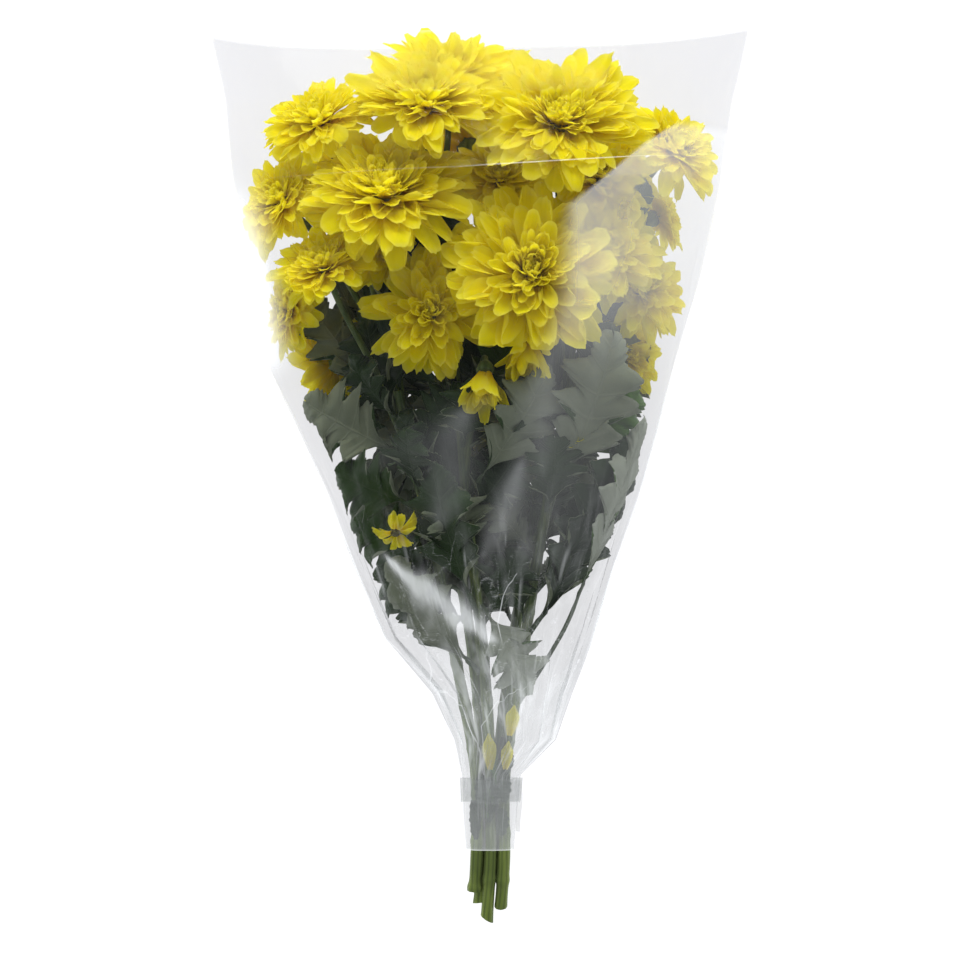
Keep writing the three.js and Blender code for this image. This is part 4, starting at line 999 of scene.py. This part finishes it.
def leaf(shape, spec, seed):
    spray, start, tip, width, roll, tone, pale, petiole = (*spec, PETIOLE)[:8]
    rng = np.random.default_rng(seed)
    base, _ = stem_at(spray, start)
    tip = leaf_tip(*tip)
    forward = spec[2][2] > 0.4
    length = np.linalg.norm(tip - base)
    heart = blend(base, tip, 0.7)
    outward = heart - axis_at(heart[1])
    outward[1] = 0
    outward = unit(outward)
    outward[2] += 1.3 if forward else -1.3
    outward = unit(outward)
    lift = blend(base, tip, 0.5) + outward * 0.16 * length
    u, v = patch_uv(LEAF_ROWS, LEAF_COLUMNS)
    side = np.abs(u)

    def rib(t):
        return base * (1 - t) ** 2 + 2 * lift * t * (1 - t) + tip * t**2

    half = np.where(u < 0, leaf_outline(v, rng), leaf_outline(v, rng)) * width / 2
    sweep = 0.2 * side**1.3 * smooth(v, 0.12, 0.3) * (1 - v * 0.7)
    along_rib = np.interp(v, [0, PETIOLE, 1], [0, petiole, 1])
    t = np.clip(along_rib + sweep * (1 - petiole) / (1 - PETIOLE), 0, 1.04)[..., None]
    along = unit(2 * (1 - t) * (lift - base) + 2 * t * (tip - lift))
    across = unit(np.cross(along, outward))
    across = rotate(across, along, math.radians(roll))
    up = np.cross(across, along)
    fold = 0.22 * side * half
    wave = 3.4 * side**2 * np.sin(v * 17 + np.sign(u) * rng.uniform(0.6, 2.0) + rng.uniform(0, 6))
    pucker = 0.7 * np.cos(2 * math.pi * (v * 7 - 0.14)) * side * (1 - side) * 3
    droop = -4.5 * side**3 * smooth(v, 0.3, 0.8)
    blade = smooth(v, 0.14, 0.24)
    height = (fold + (wave + pucker + droop) * blade)[..., None]
    points = rib(t) + across * (u * half)[..., None] + up * height
    points = keep_inside(points.reshape(-1, 3), 2.0).reshape(LEAF_ROWS, LEAF_COLUMNS, 3)
    gu, gv = np.gradient(points, axis=1), np.gradient(points, axis=0)
    normal = unit(np.cross(gu, gv))
    thick = (0.22 + 1.2 * (1 - smooth(v, 0.1, 0.24)) + 0.35 * (1 - smooth(side, 0.0, 0.12)))[..., None]
    values = dict(leaf_u=u, leaf_v=v, leaf_tone=tone + rng.uniform(0, 0.15))
    faces = grid_faces(LEAF_ROWS, LEAF_COLUMNS)
    shape.add(points + normal * 0.2, faces, 1 if pale else 0, **values)
    shape.add(points - normal * thick * 0.8, faces[:, ::-1], 0 if pale else 1, **values)
    edge = np.concatenate(
        [
            np.arange(LEAF_COLUMNS),
            np.arange(1, LEAF_ROWS) * LEAF_COLUMNS + LEAF_COLUMNS - 1,
            (LEAF_ROWS - 1) * LEAF_COLUMNS + np.arange(LEAF_COLUMNS - 2, -1, -1),
            np.arange(LEAF_ROWS - 2, 0, -1) * LEAF_COLUMNS,
        ]
    )
    total = LEAF_ROWS * LEAF_COLUMNS
    after = np.roll(edge, -1)
    rim = np.stack([after, edge, edge + total, after + total], 1) + shape.count - 2 * total
    shape.faces.append(rim)
    shape.which.append(np.full(len(rim), 1))


BEHIND = [  # tips of narrow leaves that stand behind the blooms of each spray
    [(-62, 118, 0.42), (-40, 168, 0.5), (-96, 100, 0.35)],
    [(-10, 130, 0.45), (-20, 172, 0.5), (-1, 88, 0.5)],
    [(60, 150, 0.45), (28, 160, 0.5), (82, 112, 0.4)],
    [(-70, 146, 0.3), (-84, 120, 0.28)],
    [(86, 150, 0.3), (20, 130, 0.3)],
]
SMALL_LEAVES, LOWEST_LEAF, LEAF_STEP = 11, -84, 12.5


def small_leaves(spray):
    """More leaves up each stem, turned a golden angle from one to the next."""
    rng = np.random.default_rng(40 + spray)
    out = []
    for k in range(SMALL_LEAVES):
        start = LOWEST_LEAF + LEAF_STEP * k
        base, _ = stem_at(spray, start)
        a = k * GOLDEN + spray
        length = rng.uniform(44, 64)
        tip = base + length * np.array([0.62 * math.cos(a), 0.72, 0])
        forward = np.clip(base[2] / 140 + 0.34 * math.sin(a), 0.1, 0.74)
        size, roll, tone = rng.uniform(30, 42), rng.uniform(-30, 30), rng.choice([0.0, 0.0, 0.0, 0.3])
        out.append((spray, start, (tip[0], tip[1], forward), size, roll, tone, rng.uniform() < 0.07))
    for tip in BEHIND[spray]:
        out.append((spray, rng.uniform(20, 44), tip, rng.uniform(34, 42), rng.uniform(-20, 20), 0.0, False))
    return out


def make_leaves(spray):
    shape = Shape()
    own = [spec for spec in LEAVES if spec[0] == spray] + small_leaves(spray)
    for k, spec in enumerate(own):
        leaf(shape, spec, 500 + 40 * spray + k)
    name = SPRAYS[spray][0]
    return shape.build(f"leaves_{name}", [LEAF_TOP, LEAF_UNDER], [f"stem_{name}"])


for index in range(len(SPRAYS)):
    make_leaves(index)

# ---------------------------------------------------------------- fallen petals

FALLEN = [  # name, stem it lies on, y of its two ends, width, height above the stem
    ("left", 1, -164, -142, 8, 1.25),
    ("middle", 2, -164, -147, 7, 1.6),
    ("right", 2, -144, -126, 8, 1.25),
]


def fallen_petal(name, spray, low, high, width, lift, seed):
    rng = np.random.default_rng(seed)
    rows, columns = 17, 13
    u, v = patch_uv(rows, columns)
    path, tangent, across, up = along_stem(spray, low, high, rows)
    wide = width / 2 * (0.35 + 0.65 * np.sin(np.minimum(v / 0.6, 1) * math.pi / 2))
    wide = wide * np.sqrt(np.clip(1 - smooth(v, 0.62, 1.02) ** 2 * 0.9, 0.05, 1))
    rise = STEM_RADIUS + lift + 0.9 * (u**2) * rng.uniform(0.3, 1.0) + 0.25 * np.cos(6 * u) * v
    points = path[:, None] + across[:, None] * (u * wide)[..., None] + up[:, None] * rise[..., None]
    shorter = 0.14 * (high - low) * np.abs(u) ** 2.2 * smooth(v, 0.4, 1)
    points = points - tangent[:, None] * shorter[..., None]
    shape = Shape()
    shape.add(points, grid_faces(rows, columns), 0, petal_u=u, petal_v=v, petal_tone=0.7, petal_layer=0.1)
    return shape.build(f"loose_petal_{name}", [PETAL], [f"fallen_petal_{name}"])


for number, item in enumerate(FALLEN):
    fallen_petal(*item, 900 + number)

# ---------------------------------------------------------------- film sleeve and tape


def lane_at(u, y):
    """Counts the pleats across the front, with the slow sideways drift that they have along the sleeve."""
    lane = np.interp(u, FRONT_PLACES, np.arange(len(FRONT_PLACES)))
    return lane + 0.22 * np.sin(y / 24.0 + 3 * lane)


def pleats(u, front, turn, y):
    """How far the film is drawn in by its pleats, which run up from the neck and fade out."""
    depth = np.interp(y, GATHER_Y, GATHER_DEPTH)
    lane = lane_at(u, y)
    valley = (0.5 - 0.5 * np.cos(math.pi * lane)) ** 0.8
    fine = 0.16 * np.sin(2.6 * math.pi * lane + y / 19.0) + 0.1 * np.sin(5.3 * math.pi * lane - y / 11.0)
    loose = 1.3 * np.sin(y / 27.0 + 6 * math.pi * turn) * np.sin(4 * math.pi * turn + y / 60.0)
    return -depth * np.clip(valley + fine, 0, 1.15) * front + loose * smooth(y, -150, -60) - 0.6


def pleat_highlights(u, y):
    """Painted highlights along the tops and bottoms of the pleats, broken along their length."""
    lane = lane_at(u, y)
    near = np.abs((lane + 0.5) % 1.0 - 0.5)
    number = np.round(lane)
    broken = smooth(np.sin(y / 17.0 + 2.4 * number) + 0.5 * np.sin(y / 6.3 + 5 * number), 0.1, 1.2)
    deep = smooth(np.interp(y, GATHER_Y, GATHER_DEPTH), 0.2, 3)
    return 0.26 * np.exp(-((near / 0.06) ** 2)) * broken * deep


# the left edge of a veil of reflected light over the right of the front
VEIL = [
    (109.4, 197.2), (88.9, 183.3), (63.9, 161.1), (48.3, 148.9), (45.6, 101.7),
    (38.9, 80.6), (22.2, 44.4), (13.9, 0), (2, -44.4), (-5.6, -66.7),
]


def strip(x, y, start, end, wide, peak=0.5):
    """1 along a soft straight streak that is widest at its peak and fades out at its ends."""
    ax, ay = end[0] - start[0], end[1] - start[1]
    size = math.hypot(ax, ay)
    share = ((x - start[0]) * ax + (y - start[1]) * ay) / size**2
    off = ((x - start[0]) * ay - (y - start[1]) * ax) / size
    swell = np.where(share < peak, smooth(share, -0.1, peak), 1 - smooth(share, peak, 1.1))
    return np.exp(-((off / (wide * (0.15 + 0.85 * swell))) ** 2)) * (swell > 0) * smooth(swell, 0.0, 0.25)


def film_reflection_and_haze(x, y):
    """Where the front of the film is painted milky, a share that hides what lies behind: painted reflection
    of the lamps in a veil over the right, along the left edge and in bands and glints, and a milky share that
    grows toward the neck.
    """
    veil = np.array(VEIL)[::-1]
    edge = np.interp(y, veil[:, 1], veil[:, 0])
    sharp = blend(9, 1.2, smooth(y, 130, 165))
    past = x - edge
    right = smooth(past, -sharp, sharp) * smooth(y, -80, -20) * (1 - smooth(y, 192, 200))
    right = right * blend(0.27, 0.2, smooth(past, 12, 80)) * blend(0.36, 1, smooth(y, 45, 110))
    left_edge = section_at(y)[0]
    left = smooth(left_edge + 26 - x, 0, 24) * smooth(y, 45, 75) * (1 - smooth(y, 125, 190)) * 0.5
    band = 0.05 * strip(x, y, (-70, 3), (8, 44), 12) + 0.1 * strip(x, y, (-22, -28), (-8, 40), 17)
    glint = 0.4 * strip(x, y, (-58, -41), (10, -92), 8.5, 0.6) + 0.09 * strip(x, y, (0, -46), (24, 12), 9)
    glint = glint + 0.03 * strip(x, y, (34, 0), (38, 70), 9)
    low = 0.2 * smooth(-y, 60, 135)
    return right + left + band + glint + low


def once_round(front_count, back_count):
    """u of points round the sleeve from its left seam, their share of the turn, and which are in front."""
    front = np.linspace(0, math.pi, front_count + 1)[:-1]
    back = np.linspace(0, math.pi, back_count + 1)[:-1]
    turn = np.concatenate([front, math.pi + back])[None] / (2 * math.pi)
    return np.concatenate([-np.cos(front), np.cos(back)])[None], turn, turn < 0.5


def make_film():
    u, turn, front = once_round(200, 80)
    rows = np.concatenate([np.linspace(NECK_END, -140, 72), np.linspace(-140, MOUTH_END, 279)[1:]])
    y = rows[:, None] + 0 * u
    x, z = ring_point(y, u, front)
    points = np.stack([x, y, z], -1)
    ring = np.roll(points, -1, 1) - np.roll(points, 1, 1)
    rise = np.gradient(points, axis=0)
    outward = unit(np.cross(rise, ring))
    middle = axis_at(rows)[:, None]
    outward = outward * np.sign(((points - middle) * outward).sum(-1, keepdims=True))
    crease_y = np.interp(x, [p[0] for p in CREASE], [p[1] for p in CREASE])
    ridge = np.exp(-(((y - crease_y) / 2.2) ** 2)) * front
    move = pleats(u, front, turn, y) + 0.12 * ridge
    flat = np.where(front, 1.0, smooth(np.abs(u), 0.35, 0.8))
    points = points + outward * (move * flat)[..., None]
    sag = np.where(front, MOUTH_SAG_FRONT, MOUTH_SAG_BACK)
    mouth = MOUTH_TILT * u + MOUTH_LIFT - sag * (1 - u**10)
    points[..., 1] += mouth * smooth(y, 215, MOUTH_END)
    points[..., 2] = np.maximum(points[..., 2], 0.15)
    left, right = section_at(y)[:2]
    # Painted lighter: the side seams (partly doubled film, partly painted highlight), the film's edges at the
    # mouth and the neck (partly painted highlight), and the pleats' painted highlights
    seam = np.exp(-(((1 - np.abs(u)) * (right - left) / 2 / 1.2) ** 2))
    edge = smooth(y, 249, MOUTH_END) * 0.3
    low_edge = smooth(-y, 210.5, -NECK_END) * 0.5
    reflection_and_haze = np.where(front, film_reflection_and_haze(x, y), 0.02)
    fold = np.clip(0.5 * seam * smooth(y, -130, -60) + edge + low_edge + pleat_highlights(u, y) * front, 0, 1)
    crumple = smooth(-y, -20, 130) * 0.5 * (1 - 0.8 * smooth(-y, 160, 182)) + 0.04
    values = dict(film_reflection_and_haze=reflection_and_haze, film_edges_and_highlights=fold, film_crumple=crumple, film_along=y)
    values["film_lane"] = lane_at(u, y) * front + 30 * turn * (1 - front)
    for number, points_of in enumerate(FOLDS):
        px, py, mark = np.array(points_of, float).T
        if number == 0:
            values["film_line_0"] = np.where(front, y - crease_y, 50)
            values["film_mark_0"] = np.interp(x, px, mark, 0, 0)
        else:
            order = np.argsort(py)
            values[f"film_line_{number}"] = np.where(front, x - np.interp(y, py[order], px[order]), 50)
            values[f"film_mark_{number}"] = np.interp(y, py[order], mark[order], 0, 0)
    shape = Shape()
    shape.add(points, grid_faces(len(rows), u.size, True), 0, **values)
    made = shape.build("sleeve_film", [FILM], ["film_sleeve"])
    made.visible_shadow = False
    return made


def make_tape():
    u, turn, front = once_round(90, 90)
    rows = np.linspace(TAPE_LOW, TAPE_HIGH, 15)
    y = rows[:, None] + 0 * u
    x, z = ring_point(y, u, front)
    points = np.stack([x, y, z], -1)
    middle = axis_at(rows)[:, None]
    outward = points - middle
    outward[..., 1] = 0
    outward = unit(outward)
    ripple = 0.25 * np.sin(2 * math.pi * 17 * turn + y / 4) + 0.15 * np.sin(2 * math.pi * 41 * turn)
    points = points + outward * (0.75 + ripple * 0.5)[..., None]
    points[..., 1] += 0.5 * np.sin(2 * math.pi * 3 * turn) + 0.25 * np.sin(2 * math.pi * 11 * turn)
    points[..., 2] = np.maximum(points[..., 2], 0.1)
    shape = Shape()
    shape.add(points, grid_faces(len(rows), u.size, True), 0)
    tail_rows, tail_columns = 12, 25
    b, a = np.mgrid[0 : 1 : tail_rows * 1j, 0 : 1 : tail_columns * 1j]
    x = 20.5 + 3.2 * b + 0.7 * np.sin(a * 5) * b
    y = blend(TAPE_HIGH - 1.5, TAPE_LOW - 17, a)
    z = 11.5 + 1.4 * np.sin(a * 6 + 2 * b) + 1.5 * a
    shape.add(np.stack([x, y, z], -1), grid_faces(tail_rows, tail_columns), 0)
    return shape.build("neck_tape", [TAPE], ["tape_band"])


make_film()
make_tape()

# ---------------------------------------------------------------- floor, light and camera


CAMERA_HEIGHT = 2.28  # metres; the camera looks straight down
SENSOR_WIDTH, LENS = 36, 148.3  # millimetres
FLOOR_HALF, FLOOR_DROP = 6, 0.0005  # metres
WORLD_LIGHT = 0.4


def area(name, place, aim, size, power):
    """A white rectangular light that shines from a place toward an aim."""
    data = bpy.data.lights.new(name, "AREA")
    data.shape = "RECTANGLE"
    data.size, data.size_y = size
    data.energy = power
    made = add_object(name, data)
    made.location = place
    z = unit(np.array(place) - np.array(aim))
    x = unit(np.cross([0, 1.0, 0.001], z)) if abs(z[1]) < 0.95 else np.array([1.0, 0, 0])
    y = np.cross(z, x)
    made.rotation_mode = "QUATERNION"
    made.rotation_quaternion = Matrix(np.stack([x, y, z], 1).tolist()).to_quaternion()


floor_mesh = bpy.data.meshes.new("floor")
corners = [(x * FLOOR_HALF, y * FLOOR_HALF, 0) for x, y in ((-1, -1), (1, -1), (1, 1), (-1, 1))]
floor_mesh.from_pydata(corners, [], [(0, 1, 2, 3)])
floor_mesh.materials.append(floor_material())
floor = add_object("floor", floor_mesh)
floor.location.z = -FLOOR_DROP

area("key", (-0.3, 2.3, 0.78), (0, 0.1, 0.06), (2.6, 1.3), 82)
area("top", (0.0, 0.2, 2.6), (0, 0.0, 0), (2.4, 2.4), 1.5)
area("left", (-1.8, 0.0, 1.0), (0, 0, 0.08), (1.4, 2.4), 5)
area("right", (1.8, 0.0, 1.0), (0, 0, 0.08), (1.4, 2.4), 5)

world = bpy.data.worlds.new("studio")
bpy.context.scene.world = world
world.use_nodes = True
world.node_tree.nodes["Background"].inputs[0].default_value = (1, 1, 1, 1)
world.node_tree.nodes["Background"].inputs[1].default_value = WORLD_LIGHT

camera_data = bpy.data.cameras.new("camera")
camera_data.sensor_width = SENSOR_WIDTH
camera_data.lens = LENS
camera = add_object("camera", camera_data)
camera.location = (0, 0, CAMERA_HEIGHT)
bpy.context.scene.camera = camera
bpy.context.scene.view_settings.view_transform = "Standard"
